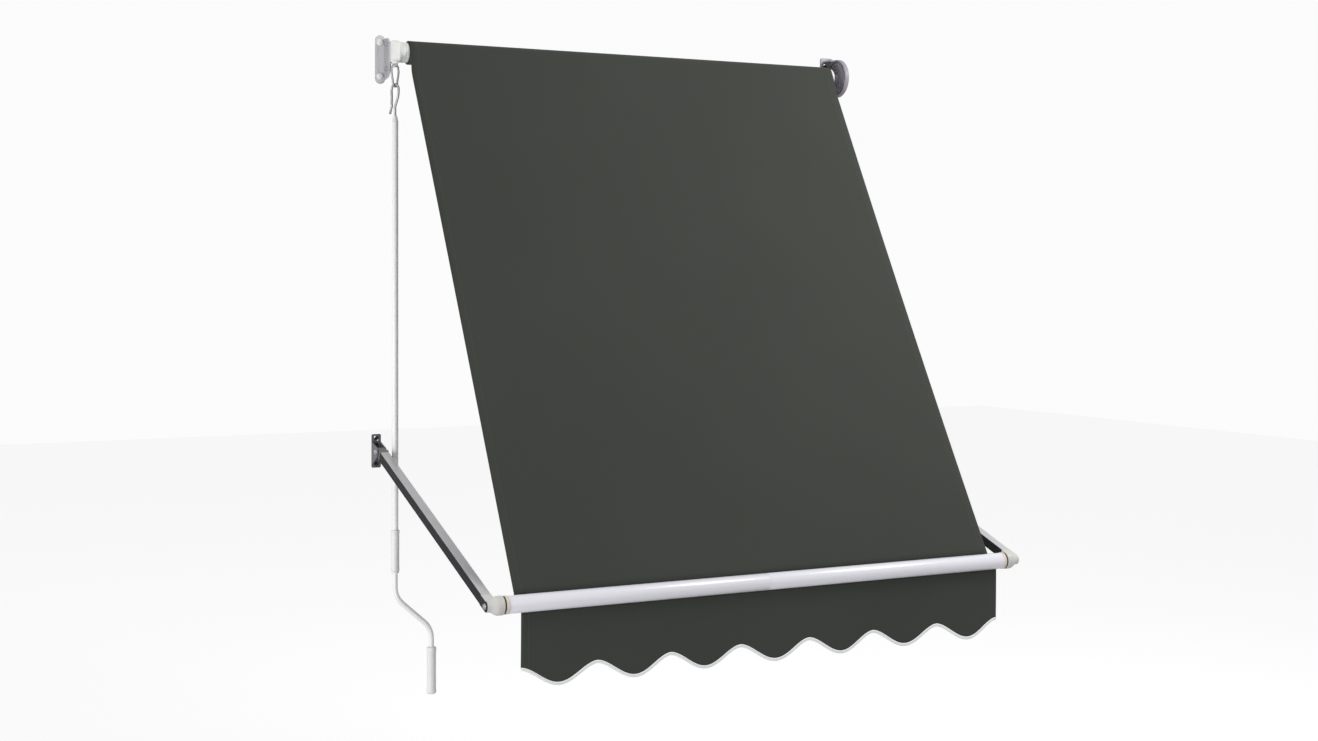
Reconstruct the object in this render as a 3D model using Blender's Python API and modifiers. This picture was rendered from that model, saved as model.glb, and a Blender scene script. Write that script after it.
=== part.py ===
"""Canvas awning with two fixed pivot arms, a cloth roller, a worm gearbox and a hooked crank.

Metres, +Z up. The origin is the centre of the left roller bracket's back face. The wall is the
plane Y = 0, the awning stands out towards -Y, and the roller runs along +X.
"""
import math

import bmesh
import bpy
from mathutils import Vector

# Cloth
CANOPY_WIDTH = 1.400
CLOTH = 0.0010
SIDE_GAP = 0.0535        # from the origin to the canopy's left edge
ROLL_RADIUS = 0.0322     # the cloth that is still wound on the tube
ROLL_INSET = 0.0130      # the wound cloth starts this far inside the canopy's left edge
ROLL_SHIFT = 0.0070      # and ends this far outside its right edge
WRAP_ANGLE = 235.0       # how far the canopy's last turn goes round the roll, in degrees

# Where things stand on the wall
ROLLER_OUT = 0.045
ROLLER_RISE = 0.018
PIVOT_OUT = 0.045
PIVOT_DROP = 1.108
ARM_LENGTH = 0.899
ARM_SLOPE = 18.83        # degrees below level, with the cloth taut

# Clearances
CLEAR = 0.0003           # between pieces that touch
BOLT_PLAY = 0.0003       # round a bolt's shank

# Left roller bracket, pressed steel
BRACKET_WIDTH = 0.029
BRACKET_HEIGHT = 0.138
BRACKET_PLATE = 0.004
CHEEK_DEPTH = 0.050
WALL_BOLT_RADIUS = 0.0040
WALL_BOLT_PITCH = 0.096
CHEEK_BOLT_RADIUS = 0.0030
CHEEK_BOLT_BACK = 0.028
CHEEK_BOLT_HIGH = 0.041
CHEEK_BOLT_LOW = -0.0285
CHEEK_BOLT_REACH = 0.0040

# Gearbox
HOUSING_WIDTH = 0.019
HOUSING_HEIGHT = 0.059
HOUSING_FRONT = 0.080
HOUSING_BACK = 0.010
HOUSING_EAR = 0.0100
HOUSING_BOSS = 0.0060
MODULE = 0.0018
WHEEL_TEETH = 14
WORM_PITCH_RADIUS = 0.0052
GEAR_PLAY = 0.00050      # taken off each tooth and off the thread at the pitch line
TIP_PLAY = 0.00042
WHEEL_FACE = 0.0080
WORM_TURNS = 3
HEX_RADIUS = 0.00577     # the drive shaft, across its corners
COVER_RADIUS = 0.0290
COVER_LENGTH = 0.0204
COVER_WALL = 0.0025
COVER_DISC = 0.0040
HUB_RADIUS = 0.0085
CROWN_RADIUS = 0.0285
CROWN_FLANGE = 0.0092
CROWN_PLUG = 0.036
EYE_WIRE = 0.0030
EYE_WIDTH = 0.030
EYE_HEIGHT = 0.0660
EYE_BOTTOM_RADIUS = 0.0072
EYE_TURN = 18.4          # the eye's plane, degrees from the wall's direction
EYE_BOSS_RADIUS = 0.0078
EYE_BOSS_HEIGHT = 0.0080

# Roller tube and front bar, both extrusions with round keder channels
TUBE_RADIUS = 0.0250
TUBE_WALL = 0.0012
BAR_RADIUS = 0.0216
BAR_WALL = 0.0014
CHANNEL_RADIUS = 0.0032
SLOT_HALF = 0.0013
KEDER_RADIUS = 0.0023
BAR_SPARE = 0.057        # the bar is this much longer than the canopy is wide
BAR_SHIFT = 0.0055       # the bar's middle lies this far right of the canopy's
BAR_SPLIT = 0.7155       # from the bar's left end to the joint of its halves
JOINER_LENGTH = 0.160
JOINER_WALL = 0.0015
CAP_RADIUS = 0.0226
CAP_FLANGE = 0.0072
CAP_PLUG = 0.035
WASHER_THICK = 0.0040

# Right bracket, a casting
CUP_RADIUS = 0.060
CUP_DEPTH = 0.0270
CUP_DISC = 0.0060
CUP_GAP = 0.0080         # from the right crown to the cup's rim
PIN_RADIUS = 0.0050
BUSH_WALL = 0.0028
BUSH_PLAY = 0.00015
RIGHT_PLATE_TOP = 0.087
RIGHT_PLATE_LOW = -0.050
RIGHT_PLATE_WIDTH = 0.039
RIGHT_SHELF = 0.0050     # thickness of the shelf from the plate to the top of the cup
RIGHT_SHELF_SET = 0.0120  # it starts this far from the plate's left edge
RIGHT_SLOT = (0.0220, 0.0090, 0.0290)  # length, width, and its middle below the plate's top
RIGHT_HOLE = (0.0120, 0.0090, 0.0180)  # the same for the lower hole, above the plate's lower edge

# Arms
ARM_WIDTH = 0.0265
ARM_DEPTH = 0.0260
ARM_WALL = 0.0016
ARM_GROOVE = 0.0012       # depth of the two grooves along each side
ARM_GROOVE_HALF = 0.0020
ARM_GROOVE_PITCH = 0.0110
ARM_START = 0.030        # from the pivot to the profile
ARM_STOP = 0.036         # from the profile to the bar's axis
ARM_OFFSET = 0.0420      # from the bar's end to the arm's middle
LUG_RADIUS = 0.0125
LUG_PLAY = 0.0005         # between the lug and each ear
PLUG_LENGTH = 0.045
KNUCKLE_RADIUS = 0.0235
KNUCKLE_NECK = 0.0140     # its radius at the outer end, round the bolt
KNUCKLE_FLARE = (0.007, 0.030)
PIVOT_BOLT_RADIUS = 0.0040
FOOT_WIDTH = 0.027
FOOT_HEIGHT = 0.095
FOOT_PLATE = 0.0030
EAR_RADIUS = 0.0130
EAR_RISE = 0.026
EAR_DROP = 0.040

# Valance
VALANCE_SPARE = 0.007    # the valance is this much wider than the canopy
VALANCE_SHIFT = 0.017    # its middle lies this far right of the canopy's
VALANCE_HIGH = 0.1570    # from the bar's axis to the scallops' upper points
SCALLOP_DEPTH = 0.0435
SCALLOPS = 7
BINDING_HEIGHT = 0.0050
BINDING_THICK = 0.0026

# Crank
HOOK_WIRE = 0.0035
HOOK_WIDTH = 0.040
HOOK_HEIGHT = 0.058        # from the top of the loop to where its limbs meet
SHANK_LENGTH = 0.048
CRANK_TUBE_RADIUS = 0.0090
CRANK_TUBE_WALL = 0.0012
CRANK_TUBE_LENGTH = 1.2660
FERRULE_LENGTH = 0.024
SLEEVE_RADIUS = 0.0125
SLEEVE_LENGTH = 0.1150
STOP_LENGTH = 0.0050
ROD_RADIUS = 0.0075
ROD_INSERT = 0.040
ROD_DROP = 0.069
BEND_DROP = 0.096
BEND_RADIUS = 0.030
CRANK_OFFSET = 0.107
GRIP_RADIUS = 0.0137
GRIP_LENGTH = 0.132
GRIP_GAP = 0.053

# Worked out from the sizes above
ROLLER_AXIS = Vector((0.0, -ROLLER_OUT, ROLLER_RISE))
PIVOT_AXIS = Vector((0.0, -PIVOT_OUT, -PIVOT_DROP))
SLOPE = math.radians(ARM_SLOPE)
ARM_DIRECTION = Vector((0.0, -math.cos(SLOPE), -math.sin(SLOPE)))
BAR_AXIS = PIVOT_AXIS + ARM_DIRECTION * ARM_LENGTH
CANOPY_LEFT = SIDE_GAP
CANOPY_RIGHT = SIDE_GAP + CANOPY_WIDTH
CANOPY_MIDDLE = (CANOPY_LEFT + CANOPY_RIGHT) / 2
BAR_LENGTH = CANOPY_WIDTH + BAR_SPARE
VALANCE_WIDTH = CANOPY_WIDTH + VALANCE_SPARE
BAR_LEFT = CANOPY_MIDDLE + BAR_SHIFT - BAR_LENGTH / 2
BAR_RIGHT = BAR_LEFT + BAR_LENGTH
ARM_TURN = math.pi / 2 + SLOPE
LUG_WIDTH = FOOT_WIDTH - 2 * (FOOT_PLATE + LUG_PLAY)

CHEEK_LEFT = BRACKET_WIDTH / 2 - BRACKET_PLATE
HOUSING_LEFT = BRACKET_WIDTH / 2 + CLEAR
HOUSING_RIGHT = HOUSING_LEFT + HOUSING_WIDTH
GEAR_PLANE = HOUSING_LEFT + HOUSING_WIDTH / 2
WHEEL_PITCH_RADIUS = MODULE * WHEEL_TEETH / 2
WHEEL_OUTER = WHEEL_PITCH_RADIUS + MODULE
WORM_OUTER = WORM_PITCH_RADIUS + MODULE
WORM_ROOT = WORM_PITCH_RADIUS - MODULE - TIP_PLAY
WORM_LEAD = math.pi * MODULE
CENTRE_DISTANCE = WHEEL_PITCH_RADIUS + WORM_PITCH_RADIUS
WORM_AXIS = Vector((GEAR_PLANE, -ROLLER_OUT - CENTRE_DISTANCE, ROLLER_RISE))
HOUSING_LOW = ROLLER_RISE - HOUSING_HEIGHT / 2
COVER_LEFT = HOUSING_RIGHT + CLEAR
CROWN_LEFT = COVER_LEFT + COVER_LENGTH + CLEAR
TUBE_LEFT = CROWN_LEFT + CROWN_FLANGE + CLEAR
TUBE_RIGHT = CANOPY_RIGHT + ROLL_SHIFT + CROWN_FLANGE / 4
RIGHT_CROWN_LEFT = TUBE_RIGHT + CLEAR
CUP_LEFT = RIGHT_CROWN_LEFT + CROWN_FLANGE + CUP_GAP
CUP_RIGHT = CUP_LEFT + CUP_DEPTH
WRAP_RADIUS = ROLL_RADIUS + CLEAR + CLOTH / 2
SHAFT_END = HOUSING_LOW - HOUSING_BOSS - 0.0008
EYE_TOP = SHAFT_END - CLEAR
EYE_LOW = Vector((WORM_AXIS.x, WORM_AXIS.y, EYE_TOP - EYE_HEIGHT + EYE_WIRE))
HOOK_TOP = EYE_LOW.z + EYE_WIRE + CLEAR + HOOK_WIRE
CRANK_TUBE_TOP = HOOK_TOP - HOOK_HEIGHT - SHANK_LENGTH
CRANK_TUBE_LOW = CRANK_TUBE_TOP - CRANK_TUBE_LENGTH
BEND_TOP = CRANK_TUBE_LOW - ROD_DROP
BEND_LOW = BEND_TOP - BEND_DROP
GRIP_TOP = BEND_LOW - GRIP_GAP
GRIP_AXIS = Vector((WORM_AXIS.x + CRANK_OFFSET, WORM_AXIS.y, GRIP_TOP))
CHANNEL_SEAT = KEDER_RADIUS + CLEAR

TURN_X = (0.0, math.pi / 2, 0.0)              # local +Z to +X
SECTION_X = (math.pi / 2, 0.0, math.pi / 2)   # an outline drawn as (Y, Z), extruded along X
FACE_Y = (math.pi / 2, 0.0, 0.0)              # an outline drawn as (X, Z), extruded along Y

WHITE_COAT = ((0.80, 0.80, 0.82), 0.32, 0.0)
WHITE_PLASTIC = ((0.72, 0.72, 0.71), 0.45, 0.0)
GREY_CAST = ((0.42, 0.41, 0.43), 0.45, 0.6)
ALUMINIUM = ((0.55, 0.55, 0.55), 0.38, 0.9)
STEEL = ((0.62, 0.62, 0.63), 0.28, 1.0)
BRONZE = ((0.50, 0.33, 0.16), 0.40, 1.0)
CANVAS = ((0.058, 0.066, 0.056), 0.90, 0.0)
RUBBER = ((0.03, 0.03, 0.03), 0.70, 0.0)
CREAM = ((0.66, 0.60, 0.52), 0.50, 0.0)


def start():
    """Empties the scene and makes the collections for the pieces and their cutters."""
    for old in list(bpy.data.objects):
        bpy.data.objects.remove(old, do_unlink=True)
    found = []
    for name in ("canvas_awning", "cutters"):
        group = bpy.data.collections.new(name)
        bpy.context.scene.collection.children.link(group)
        found.append(group)
    return found


PARTS, CUTTERS = start()
BODIES = {}


def body(name, at):
    """An empty on a moving body's joint axis. Its pieces are its children."""
    empty = bpy.data.objects.new("axis_" + name, None)
    empty.empty_display_size = 0.05
    empty.location = at
    PARTS.objects.link(empty)
    BODIES[name] = empty


def material(name, look):
    colour, roughness, metallic = look
    made = bpy.data.materials.new(name)
    made.use_nodes = True
    shader = made.node_tree.nodes["Principled BSDF"]
    shader.inputs["Base Color"].default_value = (*colour, 1.0)
    shader.inputs["Roughness"].default_value = roughness
    shader.inputs["Metallic"].default_value = metallic
    return made


def piece(name, owner, mesh, at=(0, 0, 0), turn=(0, 0, 0), look=STEEL):
    """One named sub-part, placed in the world and parented to its body's empty."""
    made = bpy.data.objects.new(name, mesh)
    PARTS.objects.link(made)
    made.rotation_euler = turn
    made.parent = BODIES[owner]
    made.location = Vector(at) - BODIES[owner].location
    if mesh.materials:
        made.material_slots[0].link = "OBJECT"
        made.material_slots[0].material = material(name, look)
    else:
        mesh.materials.append(material(name, look))
    return made


def shape(target, operation, mesh, at=(0, 0, 0), turn=(0, 0, 0)):
    """Cuts a mesh out of a piece, or joins it on."""
    tool = bpy.data.objects.new(f"{target.name}_{operation.lower()}_{len(target.modifiers)}", mesh)
    CUTTERS.objects.link(tool)
    tool.location = at
    tool.rotation_euler = turn
    tool.hide_render = True
    tool.display_type = "WIRE"
    step = target.modifiers.new(operation.title(), "BOOLEAN")
    step.operation = operation
    step.solver = "EXACT"
    step.object = tool
    return tool


def cut(target, mesh, at=(0, 0, 0), turn=(0, 0, 0)):
    return shape(target, "DIFFERENCE", mesh, at, turn)


def join(target, mesh, at=(0, 0, 0), turn=(0, 0, 0)):
    return shape(target, "UNION", mesh, at, turn)


def soften(target, width, segments=2, angle=35.0):
    step = target.modifiers.new("Bevel", "BEVEL")
    step.width = width
    step.segments = segments
    step.limit_method = "ANGLE"
    step.angle_limit = math.radians(angle)
    return target


def smooth(mesh, angle=40.0):
    mesh.shade_smooth()
    mesh.set_sharp_from_angle(angle=math.radians(angle))
    return mesh


def settled(maker):
    """The evaluated mesh of a temporary object, with its loose caps welded."""
    bpy.context.view_layer.update()
    graph = bpy.context.evaluated_depsgraph_get()
    mesh = bpy.data.meshes.new_from_object(maker.evaluated_get(graph))
    bm = bmesh.new()
    bm.from_mesh(mesh)
    bmesh.ops.remove_doubles(bm, verts=bm.verts, dist=0.00001)
    bmesh.ops.recalc_face_normals(bm, faces=bm.faces)
    bm.to_mesh(mesh)
    bm.free()
    source = maker.data
    bpy.data.objects.remove(maker, do_unlink=True)
    if isinstance(source, bpy.types.Curve):
        bpy.data.curves.remove(source)
    return mesh


def block(size):
    """A box about the origin."""
    mesh = bpy.data.meshes.new("block")
    bm = bmesh.new()
    bmesh.ops.create_cube(bm, size=1.0)
    bmesh.ops.scale(bm, vec=size, verts=bm.verts)
    bm.to_mesh(mesh)
    bm.free()
    return mesh


def drum(radius, length, sides=32):
    """A cylinder along Z about the origin."""
    mesh = bpy.data.meshes.new("drum")
    bm = bmesh.new()
    bmesh.ops.create_cone(bm, cap_ends=True, segments=sides, radius1=radius, radius2=radius,
                          depth=length)
    bm.to_mesh(mesh)
    bm.free()
    return smooth(mesh)


def turned(profile, sides=40, closed=False):
    """A turned shape about Z. The profile holds (radius, z), outer side from top to bottom."""
    mesh = bpy.data.meshes.new("turned")
    count = len(profile)
    last = count if closed else count - 1
    mesh.from_pydata([(r, 0.0, z) for r, z in profile],
                     [(n, (n + 1) % count) for n in range(last)], [])
    maker = bpy.data.objects.new("turned", mesh)
    CUTTERS.objects.link(maker)
    step = maker.modifiers.new("Screw", "SCREW")
    step.axis = "Z"
    step.steps = sides
    step.render_steps = sides
    step.use_merge_vertices = True
    step.merge_threshold = 0.00001
    return smooth(settled(maker))


def ring(outer, inner, length, sides=40):
    """A tube along Z about the origin."""
    half = length / 2
    return turned([(outer, half), (outer, -half), (inner, -half), (inner, half)], sides, True)


def flat(outline, thickness, holes=()):
    """A flat outline with holes, extruded both ways from its own plane."""
    curve = bpy.data.curves.new("flat", "CURVE")
    curve.dimensions = "2D"
    curve.fill_mode = "BOTH"
    curve.extrude = thickness / 2
    for points in (outline, *holes):
        spline = curve.splines.new("POLY")
        spline.points.add(len(points) - 1)
        for point, (x, y) in zip(spline.points, points):
            point.co = (x, y, 0.0, 1.0)
        spline.use_cyclic_u = True
    maker = bpy.data.objects.new("flat", curve)
    CUTTERS.objects.link(maker)
    return smooth(settled(maker))


def rod(points, radius, resolution=2, cyclic=False):
    """A round wire or tube along a row of points."""
    curve = bpy.data.curves.new("rod", "CURVE")
    curve.dimensions = "3D"
    curve.bevel_depth = radius
    curve.bevel_resolution = resolution
    curve.use_fill_caps = True
    spline = curve.splines.new("POLY")
    spline.points.add(len(points) - 1)
    for point, place in zip(spline.points, points):
        point.co = (*place, 1.0)
    spline.use_cyclic_u = cyclic
    maker = bpy.data.objects.new("rod", curve)
    CUTTERS.objects.link(maker)
    return smooth(settled(maker), 60.0)


def arc(centre, radius, start_degrees, end_degrees, steps):
    """Points along an arc, both ends included."""
    found = []
    for n in range(steps + 1):
        angle = math.radians(start_degrees + (end_degrees - start_degrees) * n / steps)
        found.append((centre[0] + radius * math.cos(angle), centre[1] + radius * math.sin(angle)))
    return found


def rounded(width, height, radius, steps=4):
    """A rectangle with round corners."""
    x, y = width / 2 - radius, height / 2 - radius
    return (arc((x, y), radius, 0, 90, steps) + arc((-x, y), radius, 90, 180, steps)
            + arc((-x, -y), radius, 180, 270, steps) + arc((x, -y), radius, 270, 360, steps))


def pill(length, width, slant=0.0, steps=8):
    """A slot with round ends, turned by slant degrees."""
    reach = (length - width) / 2
    points = (arc((reach, 0), width / 2, -90, 90, steps) + arc((-reach, 0), width / 2, 90, 270, steps))
    c, s = math.cos(math.radians(slant)), math.sin(math.radians(slant))
    return [(x * c - y * s, x * s + y * c) for x, y in points]


def moved(points, dx, dy):
    return [(x + dx, y + dy) for x, y in points]


def channel_tube(radius, wall, angles, length):
    """A round extrusion whose wall folds in to a keder channel at each of the given angles.

    Each channel is a round bore, open to the outside through a narrow slot.
    """
    seat = radius - wall - CHANNEL_RADIUS
    lip = math.degrees(math.asin(SLOT_HALF / radius))
    mouth = math.degrees(math.asin(SLOT_HALF / CHANNEL_RADIUS))
    inner = radius - wall
    bump = CHANNEL_RADIUS + wall
    shoulder = math.degrees(math.acos((inner ** 2 + seat ** 2 - bump ** 2) / (2 * inner * seat)))
    crest_x = inner * math.cos(math.radians(shoulder)) - seat
    crest_y = inner * math.sin(math.radians(shoulder))
    flank = math.degrees(math.atan2(crest_y, crest_x))
    outline, hollow = [], []
    for n, angle in enumerate(angles):
        following = angles[(n + 1) % len(angles)]
        span = (following - angle) % 360 or 360
        a = math.radians(angle)
        centre = (seat * math.cos(a), seat * math.sin(a))
        outline += arc(centre, CHANNEL_RADIUS, angle - mouth, angle + mouth - 360, 14)
        outline += arc((0, 0), radius, angle + lip, angle + span - lip, round(span / 9))
        hollow += arc(centre, bump, angle - flank, angle + flank - 360, 10)
        hollow += arc((0, 0), inner, angle + shoulder + 1, angle + span - shoulder - 1,
                      round(span / 12))
    return flat(outline, length, [hollow])


def bolt(shank_radius, length, head_radius, head_height, flange_radius):
    """A hexagon bolt with a washer face: shank along -Z from the origin, head above it."""
    flange = head_height * 0.25
    mesh = turned([(0, flange), (flange_radius, flange), (flange_radius, 0), (shank_radius, 0),
                   (shank_radius, -length), (0, -length)], 20)
    maker = bpy.data.objects.new("bolt", mesh)
    CUTTERS.objects.link(maker)
    tool = join(maker, drum(head_radius, head_height, 6), (0, 0, head_height / 2 + flange / 4))
    made = settled(maker)
    bpy.data.objects.remove(tool, do_unlink=True)
    return smooth(made, 30.0)


def nut(bore, radius, height):
    """A hexagon nut about the origin, along Z."""
    maker = bpy.data.objects.new("nut", drum(radius, height, 6))
    CUTTERS.objects.link(maker)
    tool = cut(maker, drum(bore, height * 2, 20))
    made = settled(maker)
    bpy.data.objects.remove(tool, do_unlink=True)
    return smooth(made, 30.0)


def left_bracket():
    """A wall flange and a forward cheek pressed from one plate, with its four bolts."""
    half_w, half_h = BRACKET_WIDTH / 2, BRACKET_HEIGHT / 2
    ends = (arc((0, half_h - half_w), half_w, 0, 180, 12)
            + arc((0, half_w - half_h), half_w, 180, 360, 12))
    flange = flat(ends, BRACKET_PLATE)
    made = piece("left_bracket", "root", flange, (0, -BRACKET_PLATE / 2, 0), FACE_Y, GREY_CAST)
    nose = CHEEK_DEPTH * 0.42
    edge = half_h - half_w * 0.75
    side = (arc((nose - CHEEK_DEPTH, edge - nose), nose, 90, 180, 8)
            + arc((nose - CHEEK_DEPTH, nose - edge + 0.004), nose, 180, 270, 8)
            + [(-CLEAR, -edge), (-CLEAR, edge)])
    join(made, flat(side, BRACKET_PLATE), (CHEEK_LEFT + BRACKET_PLATE / 2, 0, 0), SECTION_X)
    bolt_x = (CHEEK_LEFT - half_w) / 2
    hole = drum(WALL_BOLT_RADIUS + BOLT_PLAY, BRACKET_PLATE * 3, 24)
    wall_bolt = bolt(WALL_BOLT_RADIUS, BRACKET_PLATE + CLEAR, 0.0075, 0.0055, 0.0095)
    for name, side_of in (("upper", 1), ("lower", -1)):
        z = side_of * WALL_BOLT_PITCH / 2
        cut(made, hole, (bolt_x, 0, z), FACE_Y)
        piece(f"left_wall_bolt_{name}", "root", wall_bolt, (bolt_x, -BRACKET_PLATE - CLEAR, z),
              FACE_Y, WHITE_COAT)
    hole = drum(CHEEK_BOLT_RADIUS + BOLT_PLAY, BRACKET_PLATE * 3, 24)
    cheek_bolt = bolt(CHEEK_BOLT_RADIUS, BRACKET_PLATE + CHEEK_BOLT_REACH, 0.0058, 0.0040, 0.0070)
    for name, z in (("upper", CHEEK_BOLT_HIGH), ("lower", CHEEK_BOLT_LOW)):
        cut(made, hole, (CHEEK_LEFT, -CHEEK_BOLT_BACK, z), TURN_X)
        piece(f"left_cheek_bolt_{name}", "root", cheek_bolt,
              (CHEEK_LEFT - CLEAR, -CHEEK_BOLT_BACK, z), (0, -math.pi / 2, 0), STEEL)


def gearbox():
    """A die cast housing with a pocket for the worm wheel, a worm bore and a screwed-on cover."""
    depth = HOUSING_FRONT - HOUSING_BACK
    middle = (GEAR_PLANE, -(HOUSING_FRONT + HOUSING_BACK) / 2, ROLLER_RISE)
    body_outline = rounded(depth, HOUSING_HEIGHT, 0.010, 5)
    made = piece("gearbox_housing", "root", flat(body_outline, HOUSING_WIDTH), middle, SECTION_X,
                 WHITE_PLASTIC)
    soften(made, 0.0012, 2)
    ear, ear_top = HOUSING_EAR, HOUSING_LOW - CHEEK_BOLT_LOW + 0.004
    ear_outline = arc((0, 0), ear, 180, 360, 10) + [(ear, ear_top), (-ear, ear_top)]
    join(made, flat(ear_outline, 0.0060), (HOUSING_LEFT + 0.0031, -CHEEK_BOLT_BACK, CHEEK_BOLT_LOW),
         SECTION_X)
    join(made, drum(WORM_OUTER + 0.0016, HOUSING_BOSS * 2, 28), (WORM_AXIS.x, WORM_AXIS.y, HOUSING_LOW))
    pocket_left = GEAR_PLANE - WHEEL_FACE / 2 - CLEAR
    pocket = drum(WHEEL_OUTER + 0.0009, HOUSING_RIGHT + 0.002 - pocket_left, 40)
    cut(made, pocket, ((HOUSING_RIGHT + 0.002 + pocket_left) / 2, -ROLLER_OUT, ROLLER_RISE), TURN_X)
    worm_half = WORM_LEAD * WORM_TURNS / 2 + 0.0034
    bore = turned([(0, worm_half + 0.0043), (0.0036, worm_half + 0.0043), (0.0036, worm_half),
                   (WORM_OUTER + 0.0006, worm_half), (WORM_OUTER + 0.0006, -worm_half),
                   (0.0044, -worm_half), (0.0044, -0.060), (0, -0.060)], 32)
    cut(made, bore, WORM_AXIS)
    for z in (CHEEK_BOLT_HIGH, CHEEK_BOLT_LOW):
        hole = drum(CHEEK_BOLT_RADIUS + BOLT_PLAY, 2 * (CHEEK_BOLT_REACH + 0.001), 24)
        cut(made, hole, (HOUSING_LEFT, -CHEEK_BOLT_BACK, z), TURN_X)
    journal = drum(0.0048, 0.010, 24)
    cut(made, journal, (HOUSING_LEFT + 0.0010 + 0.005, -ROLLER_OUT, ROLLER_RISE), TURN_X)

    # The cover carries the wheel's long hub and hides the tube's end.
    rim, disc = COVER_LENGTH, COVER_DISC
    hub_bore, hub_wall = HUB_RADIUS + BUSH_PLAY, 0.0035
    hub_end = COVER_LENGTH * 0.70
    profile = [(COVER_RADIUS - COVER_WALL, rim), (COVER_RADIUS - 0.0006, rim),
               (COVER_RADIUS, rim - 0.0006), (COVER_RADIUS, rim * 0.62), (COVER_RADIUS - 0.0006, rim * 0.60),
               (COVER_RADIUS - 0.0006, rim * 0.56), (COVER_RADIUS, rim * 0.54), (COVER_RADIUS, 0.0010),
               (COVER_RADIUS - 0.0010, 0), (hub_bore, 0), (hub_bore, hub_end),
               (hub_bore + hub_wall, hub_end), (hub_bore + hub_wall, disc),
               (COVER_RADIUS - COVER_WALL, disc)]
    piece("gearbox_cover", "root", turned(profile, 48, True), (COVER_LEFT, -ROLLER_OUT, ROLLER_RISE),
          TURN_X, WHITE_PLASTIC)


def worm_wheel():
    """Tapered teeth round a rim, twisted to the worm's lead angle, on a long bearing hub."""
    tooth = math.pi * MODULE / 2 - GEAR_PLAY
    root = WHEEL_PITCH_RADIUS - MODULE - TIP_PLAY
    slope = math.tan(math.radians(22))
    mesh_place = (0.75 - WORM_TURNS / 2) % 1.0
    if mesh_place > 0.5:
        mesh_place -= 1.0
    phase = -math.pi / 2 - mesh_place * WORM_LEAD / WHEEL_PITCH_RADIUS
    outline = []
    for n in range(WHEEL_TEETH):
        middle = phase + 2 * math.pi * n / WHEEL_TEETH
        half_root = (tooth / 2 + (WHEEL_PITCH_RADIUS - root) * slope * 0.6) / root
        half_pitch = tooth / 2 / WHEEL_PITCH_RADIUS
        half_tip = (tooth / 2 - MODULE * slope) / WHEEL_OUTER
        for radius, angle in ((root, -half_root), (WHEEL_PITCH_RADIUS, -half_pitch),
                              (WHEEL_OUTER, -half_tip), (WHEEL_OUTER, half_tip),
                              (WHEEL_PITCH_RADIUS, half_pitch), (root, half_root)):
            outline.append((radius * math.cos(middle + angle), radius * math.sin(middle + angle)))
    made = piece("worm_wheel", "roller", flat(outline, WHEEL_FACE),
                 (GEAR_PLANE, -ROLLER_OUT, ROLLER_RISE), (0, math.pi / 2, 0), BRONZE)
    lead = math.atan(WORM_LEAD / (2 * math.pi * WORM_PITCH_RADIUS))
    twist = made.modifiers.new("Lead", "SIMPLE_DEFORM")
    twist.deform_method = "TWIST"
    twist.deform_axis = "Z"
    twist.angle = WHEEL_FACE * math.tan(lead) / WHEEL_PITCH_RADIUS
    hub_left = GEAR_PLANE + WHEEL_FACE / 2 - 0.0005
    hub_right = COVER_LEFT + COVER_LENGTH * 0.70
    hub = drum(HUB_RADIUS, hub_right - hub_left, 32)
    join(made, hub, ((hub_left + hub_right) / 2, -ROLLER_OUT, ROLLER_RISE), TURN_X)
    cut(made, drum(HEX_RADIUS + CLEAR, 0.08, 6), (GEAR_PLANE, -ROLLER_OUT, ROLLER_RISE), TURN_X)
    return made


def worm():
    """A one-start thread on a shaft: a trapezoid swept along a helix and joined to its core."""
    thread = math.pi * MODULE / 2 - GEAR_PLAY
    slope = math.tan(math.radians(20))
    foot = WORM_ROOT - 0.0004
    half_foot = thread / 2 + (WORM_PITCH_RADIUS - foot) * slope
    half_tip = thread / 2 - MODULE * slope
    half_turns = WORM_TURNS / 2
    low = -half_turns * WORM_LEAD
    mesh = bpy.data.meshes.new("thread")
    corners = [(foot, half_foot), (WORM_OUTER, half_tip), (WORM_OUTER, -half_tip), (foot, -half_foot)]
    mesh.from_pydata([(r, 0.0, low + z) for r, z in corners], [(0, 1), (1, 2), (2, 3), (3, 0)], [])
    maker = bpy.data.objects.new("thread", mesh)
    CUTTERS.objects.link(maker)
    step = maker.modifiers.new("Screw", "SCREW")
    step.axis = "Z"
    step.steps = 20
    step.render_steps = 20
    step.iterations = WORM_TURNS
    step.screw_offset = WORM_LEAD
    step.merge_threshold = 0.00001
    swept = settled(maker)
    bm = bmesh.new()
    bm.from_mesh(swept)
    bmesh.ops.holes_fill(bm, edges=[e for e in bm.edges if e.is_boundary], sides=4)
    bmesh.ops.recalc_face_normals(bm, faces=bm.faces)
    bm.to_mesh(swept)
    bm.free()

    top = WORM_LEAD * half_turns + 0.0060
    collar = WORM_LEAD * half_turns + 0.0036 / 2
    journal = 0.0033
    neck = WORM_AXIS.z - SHAFT_END
    core = turned([(0, top), (journal, top), (journal, collar), (WORM_ROOT, collar),
                   (WORM_ROOT, -collar), (0.0041, -collar), (0.0041, -neck), (0, -neck)], 28)
    made = piece("worm_shaft", "winch", core, WORM_AXIS, look=STEEL)
    join(made, smooth(swept), WORM_AXIS)


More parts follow.
